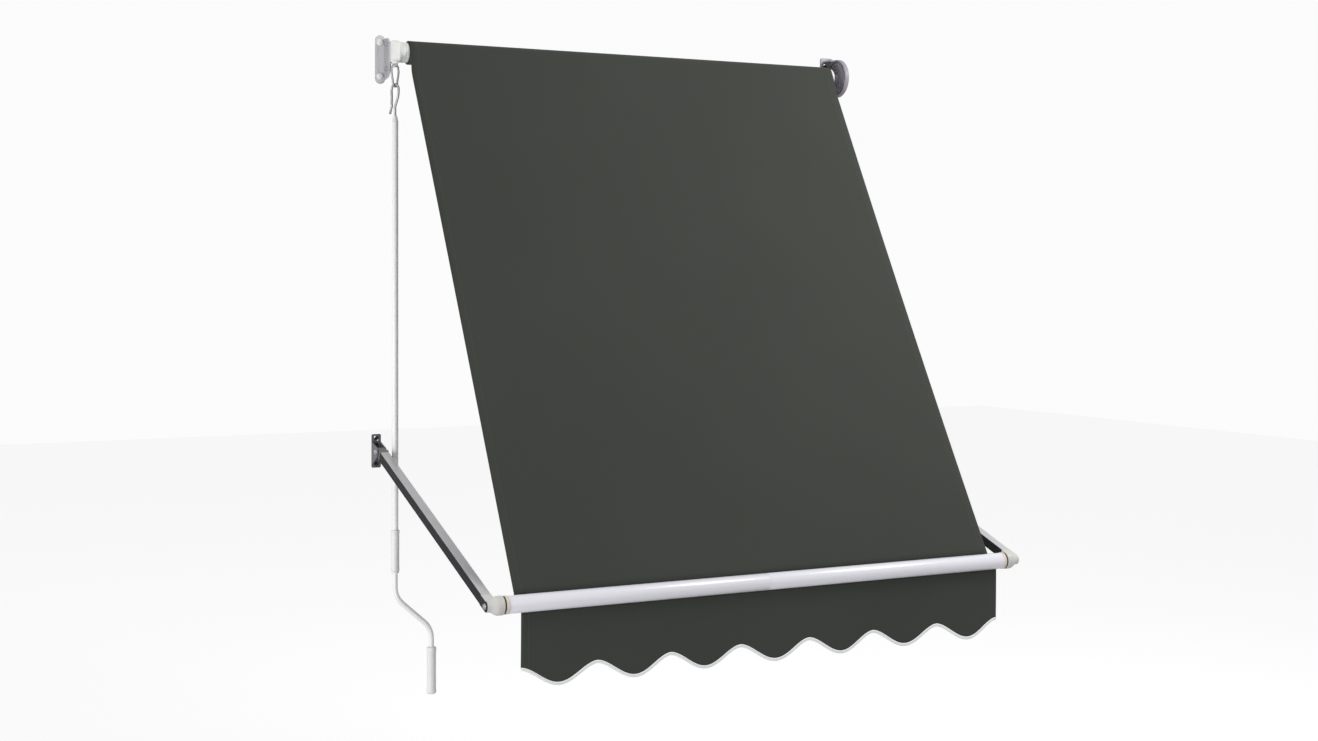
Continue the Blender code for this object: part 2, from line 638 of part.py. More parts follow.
def winch_eye():
    """A forged loop under the gearbox: a boss on the worm's shaft and a wire that narrows."""
    boss_height = EYE_BOSS_HEIGHT
    turn = (0, 0, math.radians(EYE_TURN))
    made = piece("winch_eye", "winch", drum(EYE_BOSS_RADIUS, boss_height, 24),
                 (WORM_AXIS.x, WORM_AXIS.y, EYE_TOP - boss_height / 2), turn, WHITE_COAT)
    soften(made, 0.0008, 1)
    top = -boss_height * 0.55
    low = -EYE_HEIGHT + EYE_BOTTOM_RADIUS + EYE_WIRE
    wide = EYE_WIDTH / 2 - EYE_WIRE
    shoulder = -boss_height - 0.012
    half = [(0.002, 0, top), (0.007, 0, top), (wide * 0.85, 0, top - 0.0035), (wide, 0, shoulder)]
    for n in range(1, 6):
        t = n / 6
        ease = t * t * (3 - 2 * t)
        half.append((wide + (EYE_BOTTOM_RADIUS - wide) * ease, 0, shoulder + (low - shoulder) * t))
    bottom = [(x, 0, z) for x, z in arc((0, low), EYE_BOTTOM_RADIUS, 0, -180, 8)]
    loop = half + bottom + [(-x, y, z) for x, y, z in reversed(half)]
    join(made, rod(loop, EYE_WIRE, 2), (WORM_AXIS.x, WORM_AXIS.y, EYE_TOP), turn)


def roller():
    """The tube with its crowns, the drive shaft and the cloth that is still wound on it."""
    axis = (0.0, -ROLLER_OUT, ROLLER_RISE)
    shaft_left = HOUSING_LEFT + 0.0014
    hex_left = GEAR_PLANE - WHEEL_FACE / 2
    shaft_right = CROWN_LEFT + CROWN_FLANGE + CROWN_PLUG - 0.002
    shaft = piece("drive_shaft", "roller", drum(HEX_RADIUS, shaft_right - hex_left, 6),
                  ((hex_left + shaft_right) / 2, axis[1], axis[2]), TURN_X, STEEL)
    join(shaft, drum(0.0045, hex_left - shaft_left + 0.002, 24),
         ((shaft_left + hex_left + 0.002) / 2, axis[1], axis[2]), TURN_X)

    plug = TUBE_RADIUS - 2 * TUBE_WALL - 2 * CHANNEL_RADIUS - CLEAR
    flange, end = CROWN_FLANGE, CROWN_FLANGE + CROWN_PLUG
    profile = [(0, end), (plug - 0.001, end), (plug, end - 0.001), (plug, flange), (CROWN_RADIUS, flange),
               (CROWN_RADIUS, 0.0008), (CROWN_RADIUS - 0.0008, 0), (0, 0)]
    left = piece("left_crown", "roller", turned(profile, 40), (CROWN_LEFT, axis[1], axis[2]), TURN_X,
                 WHITE_PLASTIC)
    cut(left, drum(HEX_RADIUS + CLEAR, 0.2, 6), (CROWN_LEFT, axis[1], axis[2]), TURN_X)

    length = TUBE_RIGHT - TUBE_LEFT
    piece("roller_tube", "roller", channel_tube(TUBE_RADIUS, TUBE_WALL, [200.0], length),
          ((TUBE_LEFT + TUBE_RIGHT) / 2, axis[1], axis[2]), SECTION_X, STEEL)

    pin_end = flange + CUP_GAP + CUP_DEPTH - 0.0015
    profile = [(0, pin_end), (PIN_RADIUS - 0.0006, pin_end), (PIN_RADIUS, pin_end - 0.0006),
               (PIN_RADIUS, flange), (CROWN_RADIUS - 0.0008, flange), (CROWN_RADIUS, flange - 0.0008),
               (CROWN_RADIUS, 0), (plug, 0), (plug, 0.001 - CROWN_PLUG), (plug - 0.001, -CROWN_PLUG),
               (0, -CROWN_PLUG)]
    piece("right_crown", "roller", turned(profile, 40), (RIGHT_CROWN_LEFT, axis[1], axis[2]), TURN_X,
          WHITE_PLASTIC)

    # The ends of the roll show the edges of its turns as fine steps.
    left_end, right_end = CANOPY_LEFT + ROLL_INSET, CANOPY_RIGHT + ROLL_SHIFT
    half = (right_end - left_end) / 2
    bore, steps = TUBE_RADIUS + CLEAR, 4
    layer = (ROLL_RADIUS - bore) / steps
    top = []
    for n in range(steps):
        radius = bore + layer * n
        top += [(radius, half - 0.0004 * (n % 2)), (radius + layer, half - 0.0004 * (n % 2))]
    profile = top + [(r, -z) for r, z in reversed(top)]
    piece("wound_canvas", "roller", turned(profile, 48, True),
          ((left_end + right_end) / 2, axis[1], axis[2]), TURN_X, CANVAS)


def right_bracket():
    """A cast cup with concentric ridges round the idler pin, on a flange with a slot and a hole."""
    axis = (0.0, -ROLLER_OUT, ROLLER_RISE)
    disc, rim, hub = CUP_DISC, CUP_DEPTH, CUP_DEPTH
    bush_radius = PIN_RADIUS + BUSH_PLAY + BUSH_WALL
    bore = bush_radius + CLEAR
    profile = [(bore, hub - 0.004), (bore + 0.0045, hub - 0.004), (bore + 0.0060, disc + 0.0008)]
    for middle, wide, high in ((0.023, 0.0050, 0.0030), (0.034, 0.0050, 0.0050), (0.045, 0.0045, 0.0075)):
        profile += [(middle - wide / 2, disc), (middle - wide / 4, disc + high),
                    (middle + wide / 4, disc + high), (middle + wide / 2, disc)]
    profile += [(CUP_RADIUS - 0.0065, disc), (CUP_RADIUS - 0.0045, rim * 0.55),
                (CUP_RADIUS - 0.0015, rim * 0.60), (CUP_RADIUS, rim * 0.50), (CUP_RADIUS, 0.003),
                (CUP_RADIUS - 0.003, 0), (bore, 0)]
    made = piece("right_bracket", "root", turned(profile, 56, True), (CUP_RIGHT, axis[1], axis[2]),
                 (0, -math.pi / 2, 0), GREY_CAST)
    behind = block((0.2, 0.1, 0.3))
    cut(made, behind, (CUP_RIGHT, 0.05 - BRACKET_PLATE / 2, 0))
    plate_left = CUP_RIGHT - disc - RIGHT_PLATE_WIDTH
    width, height = RIGHT_PLATE_WIDTH + disc - CLEAR, RIGHT_PLATE_TOP - RIGHT_PLATE_LOW
    hole_x = -disc / 2 - 0.004
    plate = flat(rounded(width, height, 0.006), BRACKET_PLATE,
                 [moved(pill(RIGHT_SLOT[0], RIGHT_SLOT[1], 90), hole_x, height / 2 - RIGHT_SLOT[2]),
                  moved(pill(RIGHT_HOLE[0], RIGHT_HOLE[1], 90), hole_x, RIGHT_HOLE[2] - height / 2)])
    join(made, plate, (plate_left + width / 2, -BRACKET_PLATE / 2, (RIGHT_PLATE_TOP + RIGHT_PLATE_LOW) / 2),
         FACE_Y)
    shelf_left, shelf_right = plate_left + RIGHT_SHELF_SET, CUP_RIGHT - disc / 2 - 0.0008
    shelf_back, shelf_front = -BRACKET_PLATE / 2, -ROLLER_OUT + 0.0012
    shelf = (shelf_right - shelf_left, shelf_back - shelf_front, RIGHT_SHELF)
    join(made, block(shelf), ((shelf_left + shelf_right) / 2, (shelf_back + shelf_front) / 2,
                              ROLLER_RISE + CUP_RADIUS - RIGHT_SHELF / 2 - 0.0006))
    gusset = [(0.0006, -0.002), (-0.026, -0.002), (0.0006, -0.022)]
    for z in (ROLLER_RISE + 0.030, ROLLER_RISE - 0.030):
        join(made, flat(gusset, 0.004), (CUP_RIGHT - disc, 0, z))
    profile = [(bush_radius, hub - 0.006), (bush_radius, 0.0), (PIN_RADIUS + BUSH_PLAY, 0.0),
               (PIN_RADIUS + BUSH_PLAY, hub - 0.006)]
    piece("bearing_bush", "root", turned(profile, 32, True), (CUP_RIGHT, axis[1], axis[2]),
          (0, -math.pi / 2, 0), BRONZE)


def sheet_angle():
    """The direction in which the canopy leaves the bar for the front of the roll, as (Y, Z)."""
    reach = ROLLER_AXIS - BAR_AXIS
    length = math.hypot(reach.y, reach.z)
    return math.atan2(reach.z, reach.y) + math.asin(WRAP_RADIUS / length)


def canopy():
    """One cloth from the bar's upper channel to the front of the roll and over its top."""
    angle = sheet_angle()
    seat = BAR_RADIUS - BAR_WALL - CHANNEL_RADIUS + CHANNEL_SEAT
    way = (math.cos(angle), math.sin(angle))
    path = [(BAR_AXIS.y + way[0] * seat, BAR_AXIS.z + way[1] * seat)]
    first = math.degrees(angle) + 90
    path += arc((ROLLER_AXIS.y, ROLLER_AXIS.z), WRAP_RADIUS, first, first - WRAP_ANGLE, 26)
    curve = bpy.data.curves.new("canopy", "CURVE")
    curve.dimensions = "2D"
    curve.fill_mode = "NONE"
    curve.extrude = CANOPY_WIDTH / 2
    spline = curve.splines.new("POLY")
    spline.points.add(len(path) - 1)
    for point, (y, z) in zip(spline.points, path):
        point.co = (y, z, 0.0, 1.0)
    maker = bpy.data.objects.new("canopy", curve)
    CUTTERS.objects.link(maker)
    made = piece("canopy", "root", settled(maker), (CANOPY_MIDDLE, 0, 0), SECTION_X, CANVAS)
    wall = made.modifiers.new("Solidify", "SOLIDIFY")
    wall.thickness = CLOTH
    wall.offset = 0.0


def scallop_edge(width, steps):
    """The valance's wavy edge from left to right, as (x, drop below the upper points)."""
    found = []
    for n in range(SCALLOPS * steps + 1):
        phase = (n % steps) / steps
        drop = SCALLOP_DEPTH * math.sin(math.pi * phase) ** 1.7
        found.append((width * (n / (SCALLOPS * steps) - 0.5), drop))
    return found


def front_bar(slot_angle):
    """Two lengths of tube with keder channels above and below, an inner sleeve and end caps."""
    angles = [slot_angle, 270.0]
    split = BAR_LEFT + BAR_SPLIT
    halves = (("front_bar_left", BAR_LEFT, split - CLEAR / 2), ("front_bar_right", split + CLEAR / 2, BAR_RIGHT))
    for name, left, right in halves:
        piece(name, "bar", channel_tube(BAR_RADIUS, BAR_WALL, angles, right - left),
              ((left + right) / 2, BAR_AXIS.y, BAR_AXIS.z), SECTION_X, WHITE_COAT)
    inside = BAR_RADIUS - 2 * BAR_WALL - 2 * CHANNEL_RADIUS - CLEAR
    piece("bar_joiner", "bar", ring(inside, inside - JOINER_WALL, JOINER_LENGTH, 32),
          (split, BAR_AXIS.y, BAR_AXIS.z), TURN_X, ALUMINIUM)

    bore = PIVOT_BOLT_RADIUS + BOLT_PLAY
    profile = [(bore, CAP_FLANGE), (CAP_RADIUS - 0.0010, CAP_FLANGE), (CAP_RADIUS, CAP_FLANGE - 0.0010),
               (CAP_RADIUS, 0.0006), (CAP_RADIUS - 0.0006, 0), (inside, 0), (inside, 0.001 - CAP_PLUG),
               (inside - 0.001, -CAP_PLUG), (bore, -CAP_PLUG)]
    cap = turned(profile, 40, True)
    washer = ring(CAP_RADIUS - 0.0012, bore, WASHER_THICK, 40)
    for side, edge, way in (("left", BAR_LEFT, -1), ("right", BAR_RIGHT, 1)):
        turn = (0, way * math.pi / 2, 0)
        piece(f"{side}_bar_cap", "bar", cap, (edge + way * CLEAR, BAR_AXIS.y, BAR_AXIS.z), turn, CREAM)
        middle = edge + way * (CLEAR * 2 + CAP_FLANGE + WASHER_THICK / 2)
        piece(f"{side}_washer", "bar", washer, (middle, BAR_AXIS.y, BAR_AXIS.z), turn, RUBBER)

    seat = BAR_RADIUS - BAR_WALL - CHANNEL_RADIUS
    way = (math.cos(math.radians(slot_angle)), math.sin(math.radians(slot_angle)))
    piece("canopy_keder", "bar", drum(KEDER_RADIUS, CANOPY_WIDTH, 12),
          (CANOPY_MIDDLE, BAR_AXIS.y + way[0] * seat, BAR_AXIS.z + way[1] * seat), TURN_X, WHITE_PLASTIC)
    valance_middle = CANOPY_MIDDLE + VALANCE_SHIFT
    piece("valance_keder", "bar", drum(KEDER_RADIUS, VALANCE_WIDTH, 12),
          (valance_middle, BAR_AXIS.y, BAR_AXIS.z - seat), TURN_X, WHITE_PLASTIC)

    top = seat + CHANNEL_SEAT
    edge = scallop_edge(VALANCE_WIDTH, 12)
    outline = [(x, -VALANCE_HIGH - drop) for x, drop in edge]
    outline += [(VALANCE_WIDTH / 2, -top), (-VALANCE_WIDTH / 2, -top)]
    piece("valance", "bar", flat(outline, CLOTH), (valance_middle, BAR_AXIS.y, BAR_AXIS.z), FACE_Y, CANVAS)
    band = [(x, -VALANCE_HIGH - CLEAR - drop) for x, drop in edge]
    band += [(x, -VALANCE_HIGH - CLEAR - BINDING_HEIGHT - drop) for x, drop in reversed(edge)]
    piece("valance_binding", "bar", flat(band, BINDING_THICK), (valance_middle, BAR_AXIS.y, BAR_AXIS.z),
          FACE_Y, WHITE_PLASTIC)


def arm_section():
    """The arm's extruded outline: a square box with two grooves along each side."""
    w, h, r, groove, lip = ARM_WIDTH / 2, ARM_DEPTH / 2, 0.0022, ARM_GROOVE, ARM_GROOVE_HALF
    side = []
    for middle in (-ARM_GROOVE_PITCH / 2, ARM_GROOVE_PITCH / 2):
        side += [(w, middle - lip), (w - groove, middle - lip + groove * 0.6),
                 (w - groove, middle + lip - groove * 0.6), (w, middle + lip)]
    outline = (side + arc((w - r, h - r), r, 0, 90, 4) + arc((r - w, h - r), r, 90, 180, 4)
               + [(-x, -y) for x, y in side] + arc((r - w, r - h), r, 180, 270, 4)
               + arc((w - r, r - h), r, 270, 360, 4))
    hollow = rounded(ARM_WIDTH - 2 * (ARM_WALL + groove), ARM_DEPTH - 2 * ARM_WALL, 0.0006, 2)
    return outline, hollow


def arm(side, middle):
    """One arm: the wall foot with its ears and bolt, the lug, the profile and the knuckle."""
    way = -1 if side == "left" else 1
    pivot = Vector((middle, PIVOT_AXIS.y, PIVOT_AXIS.z))
    bar = Vector((middle, BAR_AXIS.y, BAR_AXIS.z))
    turn = (ARM_TURN, 0, 0)

    # The foot is a channel: a wall plate with an ear folded forward along each edge.
    plate = flat(rounded(FOOT_WIDTH, FOOT_HEIGHT, 0.004), FOOT_PLATE,
                 [moved(pill(0.017, 0.0065, way * 45), 0, FOOT_HEIGHT / 2 - 0.012),
                  moved(arc((0, 0), 0.0032, 0, 345, 15), 0, 0.018),
                  moved(arc((0, 0), 0.0032, 0, 345, 15), 0, 0.010 - FOOT_HEIGHT / 2)])
    foot = piece(f"{side}_arm_foot", "root", plate, (middle, -FOOT_PLATE / 2, pivot.z), FACE_Y, GREY_CAST)
    base = -FOOT_PLATE * 0.5
    lean = math.degrees(math.atan2(EAR_RISE - EAR_RADIUS, PIVOT_OUT))
    ear = ([(base, EAR_RISE)] + arc((-PIVOT_OUT, 0), EAR_RADIUS, 90 + lean, 270 - lean, 12)
           + [(base, -EAR_DROP)])
    ear_middle = FOOT_WIDTH / 2 - FOOT_PLATE / 2
    for edge in (-1, 1):
        join(foot, flat(ear, FOOT_PLATE), (middle + edge * ear_middle, 0, pivot.z), SECTION_X)
    cut(foot, drum(PIVOT_BOLT_RADIUS + BOLT_PLAY, 0.2, 24), pivot, TURN_X)

    outer = middle + way * (FOOT_WIDTH / 2 + CLEAR)
    inner = middle - way * (FOOT_WIDTH / 2 + CLEAR)
    nut_high = 0.0060
    pin = bolt(PIVOT_BOLT_RADIUS, FOOT_WIDTH + nut_high + 0.0030, 0.0070, 0.0050, 0.0080)
    piece(f"{side}_pivot_bolt", "root", pin, (outer, pivot.y, pivot.z), (0, way * math.pi / 2, 0), STEEL)
    piece(f"{side}_pivot_nut", "root", nut(PIVOT_BOLT_RADIUS + BOLT_PLAY, 0.0070, nut_high),
          (inner - way * nut_high / 2, pivot.y, pivot.z), TURN_X, STEEL)

    # The profile lies between the lug's plug and the knuckle's plug.
    outline, hollow = arm_section()
    length = ARM_LENGTH - ARM_START - ARM_STOP
    centre = pivot + ARM_DIRECTION * (ARM_START + length / 2)
    piece(f"{side}_arm", "front_frame", flat(outline, length, [hollow]), centre, turn, ALUMINIUM)

    plug_size = (ARM_WIDTH - 2 * (ARM_WALL + ARM_GROOVE) - 2 * CLEAR, ARM_DEPTH - 2 * ARM_WALL - 2 * CLEAR)
    lug = piece(f"{side}_arm_lug", "front_frame", drum(LUG_RADIUS, LUG_WIDTH, 32), pivot, TURN_X, GREY_CAST)
    neck = ARM_START - CLEAR
    join(lug, block((LUG_WIDTH, ARM_DEPTH - 0.002, neck)), pivot + ARM_DIRECTION * neck / 2, turn)
    shoulder = 0.010
    join(lug, block((ARM_WIDTH - 0.002, ARM_DEPTH - 0.001, shoulder)),
         pivot + ARM_DIRECTION * (neck - shoulder / 2), turn)
    join(lug, block((plug_size[0], plug_size[1], PLUG_LENGTH + 0.004)),
         pivot + ARM_DIRECTION * (neck + PLUG_LENGTH / 2 - 0.002), turn)
    cut(lug, drum(PIVOT_BOLT_RADIUS + BOLT_PLAY, 0.2, 24), pivot, TURN_X)

    # The knuckle is a cast elbow: as slim as the arm round its bolt, it flares out to the bar.
    face = CAP_FLANGE + WASHER_THICK + CLEAR * 3
    inner_face = (BAR_LEFT - face) if way < 0 else (BAR_RIGHT + face)
    outer_face = middle + way * ARM_WIDTH / 2
    length = abs(outer_face - inner_face)
    slim, r = KNUCKLE_NECK, KNUCKLE_RADIUS
    begin, finish = KNUCKLE_FLARE
    flare = []
    for n in range(9):
        t = n / 8
        flare.append((slim + (r - slim) * t * t * (3 - 2 * t), length - begin - (finish - begin) * t))
    profile = [(0, length), (slim - 0.0015, length), (slim, length - 0.0015)] + flare
    profile += [(r, 0.0010), (r - 0.0010, 0), (0, 0)]
    knuckle = piece(f"{side}_knuckle", "front_frame", turned(profile, 40),
                    (inner_face, bar.y, bar.z), (0, way * math.pi / 2, 0), GREY_CAST)
    neck = ARM_STOP - CLEAR
    join(knuckle, block((ARM_WIDTH, ARM_DEPTH, neck)), bar - ARM_DIRECTION * neck / 2, turn)
    join(knuckle, block((plug_size[0], plug_size[1], PLUG_LENGTH + 0.004)),
         bar - ARM_DIRECTION * (neck + PLUG_LENGTH / 2 - 0.002), turn)
    cut(knuckle, drum(PIVOT_BOLT_RADIUS + BOLT_PLAY, 0.2, 24), bar, TURN_X)
    pin_length = length + face + CAP_PLUG * 0.6
    pin = bolt(PIVOT_BOLT_RADIUS, pin_length, 0.0070, 0.0045, 0.0080)
    piece(f"{side}_knuckle_bolt", "front_frame", pin, (outer_face + way * CLEAR, bar.y, bar.z),
          (0, way * math.pi / 2, 0), STEEL)


def eased(points, radius, steps=6):
    """A path whose inner corners are rounded off."""
    found = [points[0]]
    for before, corner, after in zip(points, points[1:], points[2:]):
        start = corner + (before - corner).normalized() * radius
        stop = corner + (after - corner).normalized() * radius
        for n in range(steps + 1):
            t = n / steps
            found.append(start * (1 - t) ** 2 + corner * (2 * t * (1 - t)) + stop * t ** 2)
    return found + [points[-1]]


def crank():
    """Hook, ferrule, long tube, sliding sleeve with its stop, bent rod and grip."""
    x, y = WORM_AXIS.x, WORM_AXIS.y
    wide = HOOK_WIDTH / 2 - HOOK_WIRE
    long, open_side = HOOK_HEIGHT, -4.6 * HOOK_WIRE
    shank = [(0, -long - SHANK_LENGTH - 0.012), (0, -long - 0.010), (0.0012, -long - 0.002),
             (wide * 0.45, -long + 0.009), (wide * 0.86, -wide - 0.018), (wide * 0.98, -wide - 0.007)]
    limb = [(-wide, -wide - 0.008), (-wide * 0.93, -wide - 0.018), (open_side, -long + 0.006),
            (open_side * 0.93, -long - 0.002), (open_side * 1.15, -long - 0.010), (-wide * 1.45, -long - 0.024)]
    loop = shank + arc((0, -wide), wide, 0, 180, 12) + limb
    piece("crank_hook", "crank", rod([(u, 0, v) for u, v in loop], HOOK_WIRE, 2), (x, y, HOOK_TOP),
          (0, 0, math.radians(EYE_TURN - 90)), STEEL)

    bore, plug = HOOK_WIRE + CLEAR, CRANK_TUBE_RADIUS - CRANK_TUBE_WALL - CLEAR
    profile = [(bore, FERRULE_LENGTH - 0.006), (bore + 0.0015, FERRULE_LENGTH - 0.006),
               (bore + 0.0022, FERRULE_LENGTH - 0.008), (CRANK_TUBE_RADIUS - 0.0010, 0.005),
               (CRANK_TUBE_RADIUS, 0.003), (CRANK_TUBE_RADIUS, CLEAR), (plug, CLEAR), (plug, -0.014),
               (bore, -0.014)]
    piece("crank_ferrule", "crank", turned(profile, 28, True), (x, y, CRANK_TUBE_TOP), look=WHITE_PLASTIC)

    middle = (CRANK_TUBE_TOP + CRANK_TUBE_LOW) / 2
    inner = CRANK_TUBE_RADIUS - CRANK_TUBE_WALL
    piece("crank_tube", "crank", ring(CRANK_TUBE_RADIUS, inner, CRANK_TUBE_LENGTH, 28), (x, y, middle),
          look=WHITE_COAT)
    around = CRANK_TUBE_RADIUS + CLEAR
    piece("sleeve_stop", "crank", ring(SLEEVE_RADIUS - 0.0015, around, STOP_LENGTH, 28),
          (x, y, CRANK_TUBE_LOW + STOP_LENGTH / 2), look=WHITE_PLASTIC)
    r, length = SLEEVE_RADIUS, SLEEVE_LENGTH
    profile = [(around, length), (r - 0.0012, length), (r, length - 0.0012), (r, length - 0.006),
               (r - 0.0008, length - 0.008), (r - 0.0008, 0.008), (r, 0.006), (r, 0.0012),
               (r - 0.0012, 0), (around, 0)]
    piece("crank_sleeve", "sleeve", turned(profile, 32, True),
          (x, y, CRANK_TUBE_LOW + STOP_LENGTH + CLEAR), look=WHITE_PLASTIC)

    side = x + CRANK_OFFSET
    rod_end = GRIP_TOP - GRIP_LENGTH + 0.010
    path = [Vector((x, y, CRANK_TUBE_LOW + ROD_INSERT)), Vector((x, y, BEND_TOP)),
            Vector((side, y, BEND_LOW)), Vector((side, y, rod_end))]
    piece("crank_rod", "crank", rod(eased(path, BEND_RADIUS), ROD_RADIUS, 3), look=WHITE_COAT)
    r, length, bore = GRIP_RADIUS, GRIP_LENGTH, ROD_RADIUS + CLEAR
    profile = [(bore, 0), (r - 0.0015, 0), (r, -0.0015), (r, -0.012), (r - 0.0008, -0.015),
               (r - 0.0008, -length + 0.015), (r, -length + 0.012), (r, -length + 0.003),
               (r - 0.003, -length), (0, -length), (0, -length + 0.008), (bore, -length + 0.008)]
    piece("crank_grip", "grip", turned_cup(profile), GRIP_AXIS, look=WHITE_PLASTIC)


def turned_cup(profile):
    """A turned shape with a blind bore: the profile leaves the axis and comes back to it."""
    last = max(n for n, (r, _) in enumerate(profile) if r == 0)
    return turned(profile[last:] + profile[:last], 32)


def build():
    body("root", (0, 0, 0))
    body("winch", WORM_AXIS)
    body("roller", ROLLER_AXIS)
    body("front_frame", PIVOT_AXIS)
    body("bar", BAR_AXIS)
    body("crank", EYE_LOW)
    body("sleeve", (WORM_AXIS.x, WORM_AXIS.y, CRANK_TUBE_LOW))
    body("grip", GRIP_AXIS)
    left_bracket()
    gearbox()
    worm_wheel()
    worm()
    winch_eye()
    roller()
    right_bracket()
    canopy()
    front_bar(math.degrees(sheet_angle()))
    arm("left", BAR_LEFT - ARM_OFFSET)
    arm("right", BAR_RIGHT + ARM_OFFSET)
    crank()


build()
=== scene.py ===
import math

import bpy
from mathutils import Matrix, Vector


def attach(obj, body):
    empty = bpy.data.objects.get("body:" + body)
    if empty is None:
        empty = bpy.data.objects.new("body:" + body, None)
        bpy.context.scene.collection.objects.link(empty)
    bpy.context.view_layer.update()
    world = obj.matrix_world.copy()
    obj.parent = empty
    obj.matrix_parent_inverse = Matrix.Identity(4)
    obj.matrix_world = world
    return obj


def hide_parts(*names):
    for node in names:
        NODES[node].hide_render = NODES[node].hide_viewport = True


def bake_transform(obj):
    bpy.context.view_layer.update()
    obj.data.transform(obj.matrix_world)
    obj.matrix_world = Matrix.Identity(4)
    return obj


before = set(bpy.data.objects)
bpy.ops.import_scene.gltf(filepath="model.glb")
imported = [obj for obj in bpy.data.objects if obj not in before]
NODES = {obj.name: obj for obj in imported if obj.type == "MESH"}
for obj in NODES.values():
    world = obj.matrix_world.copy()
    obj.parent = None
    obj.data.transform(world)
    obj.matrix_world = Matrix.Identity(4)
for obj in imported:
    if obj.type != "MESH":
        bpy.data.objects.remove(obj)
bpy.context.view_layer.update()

scene = bpy.context.scene
scene.view_settings.view_transform = "Standard"


# Camera. The photograph is taken from the left of the awning, at the height of its cloth, with a
# short telephoto lens held level. The shift puts the horizon at its row in the photograph.
CAMERA_PLACE = (-1.5055, -4.771, -0.622)
CAMERA_TURN = 26.61       # degrees to the right of straight at the wall
FOCAL_PIXELS = 1743.0
HORIZON_ROW = 279.1
PHOTO_WIDE, PHOTO_HIGH = 1318, 741

lens = bpy.data.cameras.new("camera")
lens.sensor_width = 36.0
lens.lens = FOCAL_PIXELS * lens.sensor_width / PHOTO_WIDE
lens.shift_y = (HORIZON_ROW - PHOTO_HIGH / 2) / PHOTO_WIDE
lens.clip_start, lens.clip_end = 0.05, 60.0
camera = bpy.data.objects.new("camera", lens)
camera.location = CAMERA_PLACE
camera.rotation_euler = (math.pi / 2, 0.0, -math.radians(CAMERA_TURN))
scene.collection.objects.link(camera)
scene.camera = camera


# Studio. A white room seen by the camera and in gloss, a weaker dome that lights from above, a pale
# floor, a broad lamp high on the right, which leaves the cloth's left darker, and a weak one low on
# the left, which lights the crank and the bar's underside but hardly the cloth.
def colour(text, alpha=1.0):
    """A colour written as sRGB hex, in the linear values that a shader takes."""
    parts = [int(text[n:n + 2], 16) / 255 for n in (1, 3, 5)]
    return (*(c / 12.92 if c <= 0.04045 else ((c + 0.055) / 1.055) ** 2.4 for c in parts), alpha)


def add(tree, kind, inputs=None, **settings):
    """Adds a node. An input is given a number or a colour, or the socket that feeds it."""
    node = tree.nodes.new(kind)
    for name, value in settings.items():
        setattr(node, name, value)
    for name, value in (inputs or {}).items():
        if isinstance(value, bpy.types.NodeSocket):
            tree.links.new(value, node.inputs[name])
        else:
            node.inputs[name].default_value = value
    return node


DOME_LOW, DOME_HIGH = 0.60, 0.65   # the light from the horizon and from overhead
DOME_TOP = 0.8            # how far up a direction points where the dome reaches DOME_HIGH
WHITE_ROOM = 0.97         # what the camera and gloss see instead of the dome
world = bpy.data.worlds.new("white_room")
world.use_nodes = True
tree = world.node_tree
tree.nodes.clear()
path = add(tree, "ShaderNodeLightPath")
seen = add(tree, "ShaderNodeMath", {0: path.outputs["Is Camera Ray"], 1: path.outputs["Is Transmission Ray"]},
           operation="MAXIMUM")
seen = add(tree, "ShaderNodeMath", {0: seen.outputs[0], 1: path.outputs["Is Glossy Ray"]},
           operation="MAXIMUM")
height = add(tree, "ShaderNodeSeparateXYZ", {0: add(tree, "ShaderNodeTexCoord").outputs["Generated"]})
dome = add(tree, "ShaderNodeMapRange", {"Value": height.outputs["Z"], "From Min": 0.0, "From Max": DOME_TOP,
                                        "To Min": DOME_LOW, "To Max": DOME_HIGH})
sky = add(tree, "ShaderNodeMapRange", {"Value": seen.outputs[0], "To Min": dome.outputs[0],
                                       "To Max": WHITE_ROOM})
room = add(tree, "ShaderNodeBackground", {"Color": (1, 1, 1, 1), "Strength": sky.outputs[0]})
add(tree, "ShaderNodeOutputWorld", {"Surface": room.outputs[0]})
scene.world = world


def lamp(name, place, target, size, watts):
    """A rectangular lamp that faces its target."""
    light = bpy.data.lights.new(name, "AREA")
    light.shape = "RECTANGLE"
    light.size, light.size_y = size
    light.energy = watts
    holder = bpy.data.objects.new(name, light)
    holder.location = place
    holder.rotation_euler = (Vector(target) - Vector(place)).to_track_quat("-Z", "Y").to_euler()
    scene.collection.objects.link(holder)


lamp("lamp_right", (2.4, -1.8, 0.9), (0.9, -0.5, -0.8), (1.0, 1.2), 42)
lamp("lamp_left", (-2.6, -1.5, -1.2), (0.0, -0.1, -0.9), (1.0, 2.0), 48)

FLOOR_LEVEL = -2.30
FLOOR_SIZE = 24.0
FLOOR_GLOW = 0.47         # only for the camera, so that the floor meets the white room without an edge
bpy.ops.object.select_all(action="DESELECT")
bpy.ops.mesh.primitive_plane_add(size=FLOOR_SIZE, location=(0.7, 2.0, FLOOR_LEVEL))
floor = bpy.context.active_object
floor.name = "studio_floor"
pale = bpy.data.materials.new("pale_floor")
pale.use_nodes = True
tree = pale.node_tree
tree.nodes.clear()
path = add(tree, "ShaderNodeLightPath")
matt = add(tree, "ShaderNodeBsdfDiffuse", {"Color": colour("#DCDCDC")})
glow = add(tree, "ShaderNodeEmission", {"Color": (1, 1, 1, 1), "Strength": FLOOR_GLOW})
both = add(tree, "ShaderNodeAddShader")
tree.links.new(matt.outputs[0], both.inputs[0])
tree.links.new(glow.outputs[0], both.inputs[1])
mixed = add(tree, "ShaderNodeMixShader", {0: path.outputs["Is Camera Ray"]})
tree.links.new(matt.outputs[0], mixed.inputs[1])
tree.links.new(both.outputs[0], mixed.inputs[2])
add(tree, "ShaderNodeOutputMaterial", {"Surface": mixed.outputs[0]})
floor.data.materials.append(pale)


